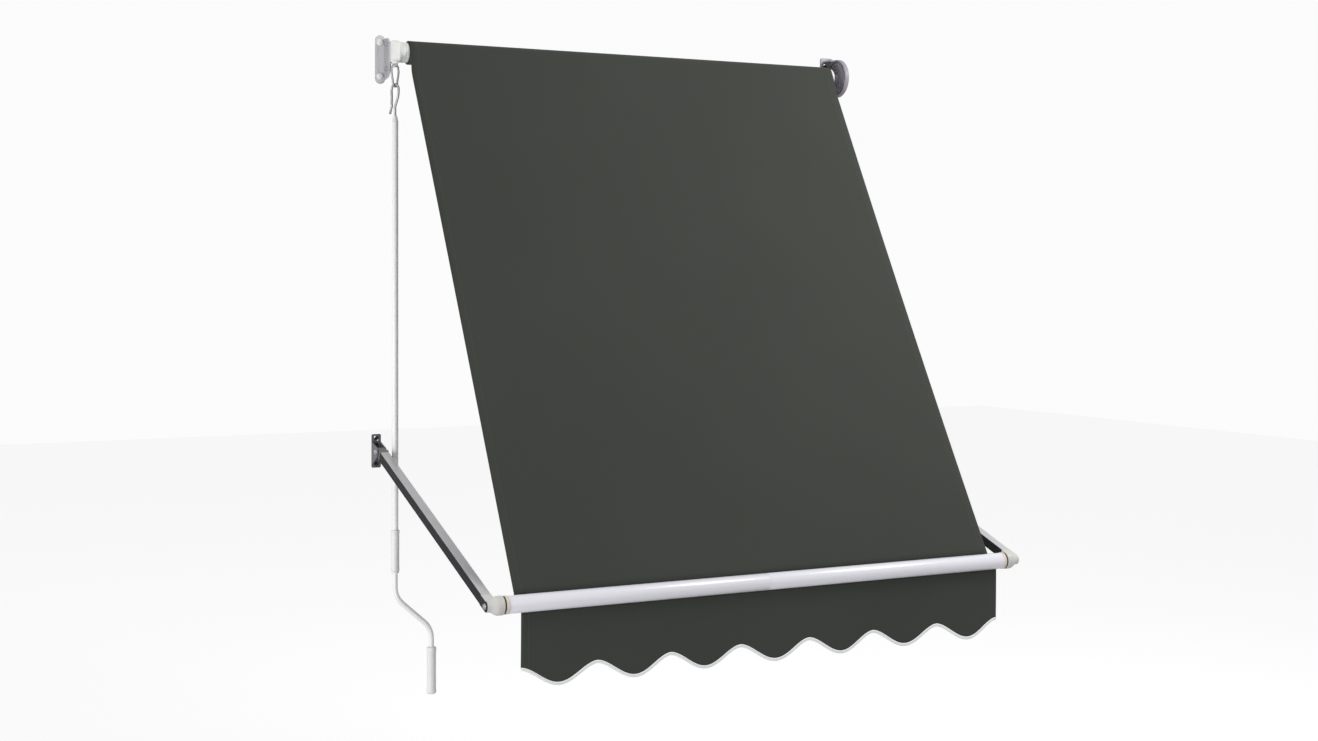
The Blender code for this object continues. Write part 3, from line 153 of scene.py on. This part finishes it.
# Canopy. One width of solution-dyed acrylic canvas, hemmed and stitched along both sides. It is held
# by its keder in the front bar, runs up taut to the front of the roll and over it.
CLOTH_WIDE = 1.400
CLOTH_THICK = 0.0010
CLOTH_LEFT = 0.0535       # X of its left side at the bar
WOUND_LEFT, WOUND_RIGHT = 0.0665, 1.4605   # the roll's ends, a little narrower and further right
DRAW_IN = 0.100           # over this length below the roll the cloth draws in to them
BAR_Y, BAR_Z = -0.895887, -1.398173
ROLL_Y, ROLL_Z = -0.045, 0.018
WRAP_RADIUS = 0.0330      # of the cloth's outer turn on the roll
WRAP_TURN = math.radians(235)              # how far round the roll the sheet goes on
SLOT_DEPTH = 0.0196       # from the bar's axis to the keder
SAG = 0.0060              # in the middle of its free length
NECK_IN = 0.0030          # the free sides draw in between the bar and the roll
HEM = 0.024               # width of the hem
HEM_STEP = 0.0012         # over this width the hem's edge falls to the single cloth
STITCH_IN = 0.004         # from the hem's inner edge to its row of stitches
STITCH_HALF = 0.0007      # half the thread's width
STITCH_PITCH = 0.0042
DASH_SHARE = 0.70         # share of the pitch that the thread lies on top
THREAD_PITCH = 0.0011     # the real threads lie 0.5 mm apart, drawn coarser so that they show close by
WEAVE_HIGH, HEM_HIGH = 0.00006, 0.0003     # what threads and a hem's second layer or stitches add

# The free length is the line from the bar's axis that touches the roll's front: it runs the way that
# `way` points, and `outward` is square to it, away from the wall.
rise = math.atan2(ROLL_Z - BAR_Z, ROLL_Y - BAR_Y)
span = math.hypot(ROLL_Z - BAR_Z, ROLL_Y - BAR_Y)
lean = rise + math.asin(WRAP_RADIUS / span)
way = (math.cos(lean), math.sin(lean))
outward = (-math.sin(lean), math.cos(lean))
free_length = math.sqrt(span ** 2 - WRAP_RADIUS ** 2) - SLOT_DEPTH


def cloth(name, across, along, place):
    """A sheet of cloth on a grid. Its UV map holds the flat cloth's own place, in metres."""
    mesh = bpy.data.meshes.new(name)
    wide = len(across)
    points = [place(u, v) for v in along for u in across]
    faces = [(r * wide + c, r * wide + c + 1, (r + 1) * wide + c + 1, (r + 1) * wide + c)
             for r in range(len(along) - 1) for c in range(wide - 1)]
    mesh.from_pydata(points, [], faces)
    flat_place = mesh.uv_layers.new(name="flat_cloth")
    for loop in mesh.loops:
        row, column = divmod(loop.vertex_index, wide)
        flat_place.data[loop.index].uv = (across[column], along[row])
    mesh.shade_smooth()
    made = bpy.data.objects.new(name, mesh)
    scene.collection.objects.link(made)
    return made


def thicken(piece, thickness):
    """Gives a sheet its thickness, half of it on each side."""
    bpy.ops.object.select_all(action="DESELECT")
    piece.select_set(True)
    bpy.context.view_layer.objects.active = piece
    wall = piece.modifiers.new("cloth_thickness", "SOLIDIFY")
    wall.thickness = thickness
    wall.offset = 0.0
    bpy.ops.object.modifier_apply(modifier=wall.name)


def canopy_place(u, v):
    """Where the flat cloth's point u from its left side and v from the keder lies on the awning."""
    side = 2 * u / CLOTH_WIDE - 1
    near = min(max((v - free_length + DRAW_IN) / DRAW_IN, 0.0), 1.0)
    near = near * near * (3 - 2 * near)
    on_roll = WOUND_LEFT + u / CLOTH_WIDE * (WOUND_RIGHT - WOUND_LEFT)
    x = CLOTH_LEFT + u + near * (on_roll - CLOTH_LEFT - u)
    if v <= free_length:
        t = v / free_length
        bow = 4 * t * (1 - t)
        wave = 0.0007 * math.sin(9.0 * u + 2.2 * t) * bow + 0.0004 * math.sin(23.0 * u - 3.0 * t) * bow
        drop = -SAG * bow * (1 - 0.25 * side ** 2) + wave
        y = BAR_Y + way[0] * (SLOT_DEPTH + v) + outward[0] * drop
        z = BAR_Z + way[1] * (SLOT_DEPTH + v) + outward[1] * drop
        return (x - side * NECK_IN * bow, y, z)
    turn = lean + math.pi / 2 - (v - free_length) / WRAP_RADIUS
    return (x, ROLL_Y + WRAP_RADIUS * math.cos(turn), ROLL_Z + WRAP_RADIUS * math.sin(turn))


across = [CLOTH_WIDE * n / 70 for n in range(71)]
along = [free_length * n / 80 for n in range(80)]
along += [free_length + WRAP_RADIUS * WRAP_TURN * n / 36 for n in range(37)]
canopy = cloth("canopy_cloth", across, along, canopy_place)
thicken(canopy, CLOTH_THICK)


def woven(name, wide):
    """Acrylic canvas: a dull plain weave that swallows light, dyed almost evenly, with a stitched
    hem along both sides that catches a thin line of it."""
    made = bpy.data.materials.new(name)
    made.use_nodes = True
    tree = made.node_tree
    shader = tree.nodes["Principled BSDF"]
    shader.inputs["Roughness"].default_value = 0.88
    shader.inputs["Specular IOR Level"].default_value = 0.15
    shader.inputs["Sheen Weight"].default_value = 0.03
    shader.inputs["Sheen Roughness"].default_value = 0.6
    flat_place = add(tree, "ShaderNodeUVMap", uv_map="flat_cloth")
    place = add(tree, "ShaderNodeSeparateXYZ", {0: flat_place.outputs[0]})
    u, v = place.outputs["X"], place.outputs["Y"]

    def count(kind, first, second=0.0, third=0.0):
        return add(tree, "ShaderNodeMath", {0: first, 1: second, 2: third}, operation=kind).outputs[0]

    turns = 2 * math.pi / THREAD_PITCH
    weave = count("MULTIPLY", count("SINE", count("MULTIPLY", u, turns)),
                  count("SINE", count("MULTIPLY", v, turns)))
    edge = count("MINIMUM", u, count("SUBTRACT", wide, u))
    hem = add(tree, "ShaderNodeMapRange", {"Value": edge, "From Min": HEM, "From Max": HEM + HEM_STEP,
                                           "To Min": 1.0, "To Max": 0.0}).outputs[0]
    row = count("COMPARE", edge, HEM - STITCH_IN, STITCH_HALF)
    dash = count("LESS_THAN", count("FRACT", count("DIVIDE", v, STITCH_PITCH)), DASH_SHARE)
    stitch = count("MULTIPLY", row, dash)
    raised = count("MULTIPLY_ADD", hem, HEM_HIGH, count("MULTIPLY", stitch, HEM_HIGH))
    height = count("MULTIPLY_ADD", weave, WEAVE_HIGH, raised)
    bump = add(tree, "ShaderNodeBump", {"Height": height, "Strength": 0.6, "Distance": 1.0})
    tree.links.new(bump.outputs[0], shader.inputs["Normal"])
    where = add(tree, "ShaderNodeTexCoord")
    cloud = add(tree, "ShaderNodeTexNoise", {"Vector": where.outputs["Object"], "Scale": 2.1, "Detail": 3.0})
    shade = add(tree, "ShaderNodeMix", {"Factor": cloud.outputs["Fac"], 6: colour("#383B36"),
                                        7: colour("#3D403B")}, data_type="RGBA")
    thread = add(tree, "ShaderNodeMix", {"Factor": stitch, 6: shade.outputs[2], 7: colour("#464944")},
                 data_type="RGBA")
    tree.links.new(thread.outputs[2], shader.inputs["Base Color"])
    return made


canopy.data.materials.append(woven("acrylic_canvas_canopy", CLOTH_WIDE))
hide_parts("canopy")
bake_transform(canopy)


# Valance. A strip of the same canvas, hung from the bar's lower channel by its own keder, cut in even
# scallops along its lower edge and free to ripple.
VALANCE_WIDE = 1.407
VALANCE_LEFT = 0.0670
VALANCE_HIGH = 0.1570     # from the bar's axis to the scallops' upper points
SCALLOPS = 7
SCALLOP_DEEP = 0.0435
SCALLOP_ROUND = 1.7       # above 1 the upper points open out into curves
RIPPLE = 0.0040
RIPPLE_FROM = 0.0216      # below the bar's axis, just outside the bar's wall
RIPPLE_REACH = 0.18       # over this height it grows to its full size


def scallop(u):
    """How far the lower edge hangs below the scallops' upper points."""
    phase = (u / VALANCE_WIDE * SCALLOPS) % 1.0
    return SCALLOP_DEEP * math.sin(math.pi * phase) ** SCALLOP_ROUND


def ripple(u, down):
    """How far the cloth waves in and out, nothing at the bar and most along the lower edge."""
    t = max(0.0, down - RIPPLE_FROM) / RIPPLE_REACH
    return RIPPLE * t ** 1.5 * (math.sin(13.0 * u + 0.7) + 0.45 * math.sin(31.0 * u + 2.0))


def valance_place(u, v):
    """Here v runs from 0 in the bar's channel to 1 on the scalloped edge."""
    down = SLOT_DEPTH + v * (VALANCE_HIGH + scallop(u) - SLOT_DEPTH)
    return (VALANCE_LEFT + u, BAR_Y + ripple(u, down), BAR_Z - down)


across = [VALANCE_WIDE * n / 210 for n in range(211)]
along = [n / 20 for n in range(21)]
valance = cloth("valance_cloth", across, along, valance_place)
for corner in valance.data.uv_layers[0].data:
    u, v = corner.uv
    corner.uv = (u, v * (VALANCE_HIGH + scallop(u) - SLOT_DEPTH))
thicken(valance, CLOTH_THICK)
valance.data.materials.append(woven("acrylic_canvas_valance", VALANCE_WIDE))
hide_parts("valance")
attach(valance, "bar")


# Binding. A white woven tape folded over the valance's scalloped edge and sewn through with one row
# of thread, from one upper point at the left end to the last at the right.
TAPE_OUTSIDE = 0.0050     # what shows below the cloth's edge
TAPE_INSIDE = 0.0030      # what lies over the cloth
TAPE_HALF = 0.0012        # half its thickness with the cloth inside
TAPE_STITCH = 0.0036
TAPE_THREAD = 0.0005      # half the width of the row of thread
steps = SCALLOPS * 28
section = [(-TAPE_INSIDE, TAPE_HALF), (0.001, TAPE_HALF * 1.05), (TAPE_OUTSIDE - 0.001, TAPE_HALF * 0.9),
           (TAPE_OUTSIDE, 0.0), (TAPE_OUTSIDE - 0.001, -TAPE_HALF * 0.9), (0.001, -TAPE_HALF * 1.05),
           (-TAPE_INSIDE, -TAPE_HALF)]
points, places = [], []
travelled = 0.0
for n in range(steps + 1):
    u = VALANCE_WIDE * n / steps
    ahead = (scallop(min(u + 0.0005, VALANCE_WIDE - 1e-9)) - scallop(max(u - 0.0005, 0.0))) / 0.001
    size = math.hypot(ahead, 1.0)
    side = (-ahead / size, -1 / size)
    travelled += VALANCE_WIDE / steps * size
    for out, off in section:
        x = min(max(u + side[0] * out, 0.0), VALANCE_WIDE)
        down = VALANCE_HIGH + scallop(u) - side[1] * out
        points.append((VALANCE_LEFT + x, BAR_Y + ripple(u, down) - off, BAR_Z - down))
        places.append((travelled, out))
ring = len(section)
faces = [(r * ring + c, (r + 1) * ring + c, (r + 1) * ring + (c + 1) % ring, r * ring + (c + 1) % ring)
         for r in range(steps) for c in range(ring)]
faces += [tuple(range(ring)), tuple(steps * ring + c for c in reversed(range(ring)))]
mesh = bpy.data.meshes.new("valance_tape")
mesh.from_pydata(points, [], faces)
tape_place = mesh.uv_layers.new(name="flat_tape")
for loop in mesh.loops:
    tape_place.data[loop.index].uv = places[loop.vertex_index]
mesh.shade_smooth()
tape = bpy.data.objects.new("valance_tape", mesh)
scene.collection.objects.link(tape)
bpy.ops.object.select_all(action="DESELECT")
tape.select_set(True)
bpy.context.view_layer.objects.active = tape
bpy.ops.object.mode_set(mode="EDIT")
bpy.ops.mesh.select_all(action="SELECT")
bpy.ops.mesh.normals_make_consistent(inside=False)
bpy.ops.object.mode_set(mode="OBJECT")

# Woven polyester: a plain matt white, with the sewn thread as a fine grey dashed line.
tape_white = bpy.data.materials.new("white_polyester_tape")
tape_white.use_nodes = True
tree = tape_white.node_tree
shader = tree.nodes["Principled BSDF"]
shader.inputs["Roughness"].default_value = 0.75
where = add(tree, "ShaderNodeUVMap", uv_map="flat_tape")
place = add(tree, "ShaderNodeSeparateXYZ", {0: where.outputs[0]})
dash = add(tree, "ShaderNodeMath", {0: place.outputs["X"], 1: TAPE_STITCH}, operation="DIVIDE")
dash = add(tree, "ShaderNodeMath", {0: dash.outputs[0]}, operation="FRACT")
dash = add(tree, "ShaderNodeMath", {0: dash.outputs[0], 1: DASH_SHARE}, operation="LESS_THAN")
line = add(tree, "ShaderNodeMath", {0: place.outputs["Y"], 1: 0.0, 2: TAPE_THREAD}, operation="COMPARE")
line = add(tree, "ShaderNodeMath", {0: line.outputs[0], 1: dash.outputs[0]}, operation="MULTIPLY")
tone = add(tree, "ShaderNodeMix", {"Factor": line.outputs[0], 6: colour("#EFEFF1"), 7: colour("#A9A9AD")},
           data_type="RGBA")
tree.links.new(tone.outputs[2], shader.inputs["Base Color"])
tape.data.materials.append(tape_white)
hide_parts("valance_binding")
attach(tape, "bar")


# Hard pieces. Each keeps its node's own shape; the loose triangles are merged, and the edges get the
# small radius that a casting, a moulding or a filed cut has, which catches a thin line of light.
MERGE = 0.00002           # points closer than this are one
CREASE = math.radians(38)
EDGE_STEPS = 2


def refine(name, body, edge):
    """A node's own shape with merged points, rounded edges and smooth shading, in its place."""
    bpy.ops.object.select_all(action="DESELECT")
    node = NODES[name]
    mesh = node.data.copy()
    mesh.name = name + "_finished"
    made = bpy.data.objects.new(mesh.name, mesh)
    scene.collection.objects.link(made)
    made.select_set(True)
    bpy.context.view_layer.objects.active = made
    bpy.ops.object.mode_set(mode="EDIT")
    bpy.ops.mesh.select_all(action="SELECT")
    bpy.ops.mesh.remove_doubles(threshold=MERGE)
    if edge:
        bpy.ops.mesh.dissolve_limited(angle_limit=math.radians(1.0))
    bpy.ops.object.mode_set(mode="OBJECT")
    mesh.materials.clear()
    if edge:
        soft = made.modifiers.new("edge", "BEVEL")
        soft.width = edge
        soft.segments = EDGE_STEPS
        soft.limit_method = "ANGLE"
        soft.angle_limit = CREASE
        soft.use_clamp_overlap = True
        bpy.ops.object.modifier_apply(modifier=soft.name)
    bpy.ops.object.shade_smooth_by_angle(angle=CREASE)
    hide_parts(name)
    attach(made, body)
    return made


def finish(name, base, rough, metal=0.0, grain=0.0, grain_size=0.0006, coat=0.0, spread=0.0):
    """A hard finish: its colour, its roughness and by how much that varies over the piece, how
    metallic it is, the depth and size of its grain in metres, and its clear coat."""
    made = bpy.data.materials.new(name)
    made.use_nodes = True
    tree = made.node_tree
    shader = tree.nodes["Principled BSDF"]
    shader.inputs["Base Color"].default_value = colour(base)
    shader.inputs["Roughness"].default_value = rough
    shader.inputs["Metallic"].default_value = metal
    shader.inputs["Coat Weight"].default_value = coat
    shader.inputs["Coat Roughness"].default_value = 0.12
    where = add(tree, "ShaderNodeTexCoord")
    if grain:
        speck = add(tree, "ShaderNodeTexNoise", {"Vector": where.outputs["Object"], "Scale": 1 / grain_size,
                                                 "Detail": 2.0})
        bump = add(tree, "ShaderNodeBump", {"Height": speck.outputs["Fac"], "Strength": 0.5,
                                            "Distance": grain})
        tree.links.new(bump.outputs[0], shader.inputs["Normal"])
    if spread:
        patch = add(tree, "ShaderNodeTexNoise", {"Vector": where.outputs["Object"], "Scale": 60.0,
                                                 "Detail": 4.0})
        gloss = add(tree, "ShaderNodeMapRange", {"Value": patch.outputs["Fac"],
                                                 "From Min": 0.3, "From Max": 0.7,
                                                 "To Min": rough - spread, "To Max": rough + spread})
        tree.links.new(gloss.outputs[0], shader.inputs["Roughness"])
    return made


def fit_out(material, slot, *pieces):
    """Gives a finish to the pieces made of it, each given as node, body and edge radius."""
    found = []
    for name, body, edge in pieces:
        made = refine(name, body, edge)
        made.data.materials.append(material)
        found.append(made)
    return found


def second_finish(made, material, test):
    """One more finish, on the faces whose normal and centre pass the test."""
    made.data.materials.append(material)
    for face in made.data.polygons:
        if test(face.normal, face.center):
            face.material_index = len(made.data.materials) - 1


# Front bar. Two halves of one extruded aluminium tube, powder coated white: an even skin with a soft
# gloss and the slight orange peel of a baked powder.
fit_out(finish("white_powder_coat", "#E0DFE6", 0.30, grain=0.00008, grain_size=0.0015, coat=0.25),
        "white_powder_coat", ("front_bar_left", "bar", 0.0003), ("front_bar_right", "bar", 0.0003))
# The caps' plastic is warm and dull beside the bar, the rubber washers are thin dark rings, and the
# keders are plain matt plastic, seen only in the bar's slots.
fit_out(finish("cream_moulded_cap", "#D6CDBD", 0.50, grain=0.00004), "cream_moulding",
        ("left_bar_cap", "bar", 0.0008), ("right_bar_cap", "bar", 0.0008))
fit_out(finish("dark_friction_washer", "#40322A", 0.70), "rubber",
        ("left_washer", "bar", 0.0005), ("right_washer", "bar", 0.0005))
fit_out(finish("white_keder_cord", "#D2D2D0", 0.60), "white_moulding",
        ("canopy_keder", "bar", 0.0), ("valance_keder", "bar", 0.0))


# Arms. Anodised extrusions with a cast knuckle at the bar and a lug in a steel foot at the wall. The
# top is bright natural anodised, with the pale, soft sheen of anodised metal. The faces turned to either
# side and the knuckle's outer end get an almost black material with hardly a sheen: painted shade,
# where those faces turn away from the light.
painted_shade_side = finish("near_black_painted_shade", "#29292B", 0.72, spread=0.05)
painted_shade_side.node_tree.nodes["Principled BSDF"].inputs["Specular IOR Level"].default_value = 0.2
bright_top = finish("natural_anodised_aluminium", "#BFBEC1", 0.34, metal=0.35, spread=0.05)
arms = fit_out(bright_top, "aluminium",
               ("left_arm", "front_frame", 0.0004), ("right_arm", "front_frame", 0.0004))
for arm in arms:
    # Painted shade: every face turned more than a little to the left or right gets the near-black material.
    second_finish(arm, painted_shade_side, lambda normal, centre: abs(normal.x) > 0.35)
# Bare mill finish, hidden in the bar. The knuckles are a pale matt casting with a fine grain.
fit_out(finish("plain_aluminium", "#9A999C", 0.40, metal=1.0), "aluminium", ("bar_joiner", "bar", 0.0))
knuckles = fit_out(finish("knuckle_casting", "#C6C5C2", 0.42, grain=0.00008, grain_size=0.0012, spread=0.05),
                   "grey_casting",
                   ("left_knuckle", "front_frame", 0.0010), ("right_knuckle", "front_frame", 0.0010))
ARM_MIDDLES = (-0.0115, 1.5295)            # X of the two arms
ARM_HALF = 0.01325
ARM_SLOPE = math.radians(18.9)             # down from the wall to the bar
ARM_WAY = Vector((0.0, math.cos(ARM_SLOPE), math.sin(ARM_SLOPE)))
BAR_AXIS = Vector((0.0, BAR_Y, BAR_Z))
NECK_FROM = 0.0150        # from the bar's axis along the arm, where the arm's own finish starts
END_DEEP = 0.0012         # the dark outer end reaches this far in
for knuckle, middle, outer in zip(knuckles, ARM_MIDDLES, (-1, 1)):
    end = middle + outer * (ARM_HALF - END_DEEP)
    second_finish(knuckle, bright_top,
                  lambda normal, centre: (centre - BAR_AXIS).dot(ARM_WAY) > NECK_FROM)
    # Painted shade: the knuckle's outer end gets the same near-black material as the arm's sides.
    second_finish(knuckle, painted_shade_side,
                  lambda normal, centre: outer * normal.x > 0.6 and outer * (centre.x - end) > 0)
# The feet and lugs are grey pressed steel, darker than the arms, with an uneven sheen.
fit_out(finish("grey_foot_steel", "#6B696E", 0.42, metal=0.30, grain=0.00008, spread=0.06), "grey_casting",
        ("left_arm_foot", "root", 0.0006), ("right_arm_foot", "root", 0.0006),
        ("left_arm_lug", "front_frame", 0.0006), ("right_arm_lug", "front_frame", 0.0006))


# Fixing screws. Blackened pan head screws with a round socket, three in each arm foot and two in the
# right bracket, turned home against the plate; their shanks end at the plate's back. Each looks like
# a dark dot with a small glint on its rim.
black_screw = finish("blackened_screw_steel", "#2E2E30", 0.45, metal=0.30)
FOOT_FRONT, BRACKET_FRONT = -0.0030, -0.0040               # Y of the plates' fronts
FOOT_ROWS = (-1.0725, -1.0900, -1.1455)                    # Z of a foot's screws
BRACKET_COLUMN, BRACKET_ROWS = 1.47765, (0.0580, -0.0320)  # X and Z of the bracket's
FOOT_SCREW = (0.0055, 0.0024, 0.0027)                      # radius and height of head, radius of shank
BRACKET_SCREW = (0.0072, 0.0036, 0.0038)
SOCKET_SHARE, SOCKET_DEEP = 0.50, 0.6                      # of the head's radius and height
SCREW_EDGE = 0.0004


def pick(made, test):
    """Selects the faces that pass the test and leaves the piece in edit mode."""
    bpy.ops.object.mode_set(mode="EDIT")
    bpy.ops.mesh.select_mode(type="FACE")
    bpy.ops.mesh.select_all(action="DESELECT")
    bpy.ops.object.mode_set(mode="OBJECT")
    for face in made.data.polygons:
        face.select = test(face)
    bpy.ops.object.mode_set(mode="EDIT")


def screw(name, x, z, plate, head, high, shank):
    """One screw whose head lies on the plate's front and whose shank ends at the wall."""
    bpy.ops.object.select_all(action="DESELECT")
    bpy.ops.mesh.primitive_cylinder_add(vertices=24, radius=head, depth=high,
                                        location=(x, plate - high / 2, z), rotation=(math.pi / 2, 0, 0))
    made = bpy.context.active_object
    made.name = name
    bpy.ops.object.transform_apply(location=True, rotation=True, scale=True)
    pick(made, lambda face: face.normal.y > 0.9)
    bpy.ops.mesh.inset(thickness=head - shank)
    bpy.ops.mesh.extrude_region_move(TRANSFORM_OT_translate={"value": (0, -plate, 0)})
    pick(made, lambda face: face.normal.y < -0.9)
    bpy.ops.mesh.inset(thickness=head * SOCKET_SHARE)
    bpy.ops.mesh.extrude_region_move(TRANSFORM_OT_translate={"value": (0, high * SOCKET_DEEP, 0)})
    bpy.ops.object.mode_set(mode="OBJECT")
    soft = made.modifiers.new("edge", "BEVEL")
    soft.width = SCREW_EDGE
    soft.segments = EDGE_STEPS
    bpy.ops.object.modifier_apply(modifier=soft.name)
    bpy.ops.object.shade_smooth_by_angle(angle=math.radians(40))
    made.data.materials.append(black_screw)
    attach(made, "root")


for side, middle in zip(("left", "right"), ARM_MIDDLES):
    for n, row in enumerate(FOOT_ROWS):
        screw(f"{side}_foot_screw_{n + 1}", middle, row, FOOT_FRONT, *FOOT_SCREW)
for n, row in enumerate(BRACKET_ROWS):
    screw(f"right_bracket_screw_{n + 1}", BRACKET_COLUMN, row, BRACKET_FRONT, *BRACKET_SCREW)


# Roller and its brackets. The left bracket is a painted casting with the gearbox moulded in white nylon
# beside it, the right one a raw zinc casting; the wound cloth is the canopy's own.
# The paint is pale and its grain breaks up the highlights; the faces turned to either side get a darker,
# duller grey, which is painted shade.
bracket = fit_out(finish("painted_bracket_casting", "#C9C8CB", 0.42,
                         grain=0.00010, grain_size=0.0011, spread=0.06),
                  "grey_casting", ("left_bracket", "root", 0.0007))[0]
# Painted shade: faces turned more than a little to the left or right get the darker grey.
second_finish(bracket, finish("painted_shade_bracket_side", "#A3A2A7", 0.45, grain=0.00012, grain_size=0.0012),
              lambda normal, centre: abs(normal.x) > 0.7)
# Painted bolts have a small clear gloss; the nylon is a softer, slightly warmer white.
fit_out(finish("white_painted_bolt", "#EAEAEA", 0.38, coat=0.2), "white_powder_coat",
        ("left_wall_bolt_upper", "root", 0.0006), ("left_wall_bolt_lower", "root", 0.0006))
fit_out(finish("white_moulded_nylon", "#E6E6E4", 0.46, grain=0.00004, grain_size=0.0008), "white_moulding",
        ("gearbox_housing", "root", 0.0008), ("gearbox_cover", "root", 0.0007),
        ("left_crown", "roller", 0.0006), ("right_crown", "roller", 0.0006))
# Raw zinc is a dull, faintly violet grey, and its coarse grain shows on the cup's ribs.
fit_out(finish("grey_zinc_casting", "#918C96", 0.48, metal=0.05, grain=0.00014, grain_size=0.0014,
               spread=0.08), "grey_casting", ("right_bracket", "root", 0.0006))
# The same dull canvas as the canopy, without its hems.
fit_out(finish("wound_acrylic_canvas", "#3A3D38", 0.88, grain=0.00010, grain_size=0.0010), "canvas",
        ("wound_canvas", "roller", 0.0))
# Bright, slightly patchy plating on the bolts; polished steel and warm bronze inside the gearbox.
fit_out(finish("zinc_plated_steel", "#B4B4B8", 0.30, metal=1.0, spread=0.06), "steel",
        ("left_cheek_bolt_upper", "root", 0.0005), ("left_cheek_bolt_lower", "root", 0.0005),
        ("left_pivot_bolt", "root", 0.0005), ("right_pivot_bolt", "root", 0.0005),
        ("left_pivot_nut", "root", 0.0004), ("right_pivot_nut", "root", 0.0004),
        ("left_knuckle_bolt", "front_frame", 0.0005), ("right_knuckle_bolt", "front_frame", 0.0005),
        ("drive_shaft", "roller", 0.0), ("roller_tube", "roller", 0.0))
fit_out(finish("ground_worm_steel", "#9C9CA0", 0.25, metal=1.0), "steel", ("worm_shaft", "winch", 0.0))
fit_out(finish("cast_bronze", "#A47B4B", 0.38, metal=1.0, spread=0.06), "bronze",
        ("worm_wheel", "roller", 0.0), ("bearing_bush", "root", 0.0003))


# Crank. A white coated steel tube and bent rod with a loose sleeve and grip of moulded nylon, hung by
# its plated hook in the plated eye of the winch.
# The plating is grey, with a hard gleam along the bent wire.
fit_out(finish("plated_hook_steel", "#A9A8AB", 0.30, metal=0.5), "steel", ("crank_hook", "crank", 0.0))
fit_out(finish("plated_eye_steel", "#A9A8AB", 0.30, metal=0.5), "white_powder_coat",
        ("winch_eye", "winch", 0.0))
# The coat is a smooth white with a thin line of light along the tube; the nylon is duller.
fit_out(finish("white_coated_crank", "#F0F0F1", 0.34, grain=0.00006, grain_size=0.0012, coat=0.15),
        "white_powder_coat", ("crank_tube", "crank", 0.0003), ("crank_rod", "crank", 0.0))
fit_out(finish("white_moulded_fittings", "#E6E6E4", 0.46, grain=0.00004, grain_size=0.0008), "white_moulding",
        ("crank_ferrule", "crank", 0.0005), ("sleeve_stop", "crank", 0.0005))
fit_out(finish("white_moulded_grip", "#E6E6E7", 0.50, grain=0.00006, grain_size=0.0008), "white_moulding",
        ("crank_sleeve", "sleeve", 0.0008), ("crank_grip", "grip", 0.0008))
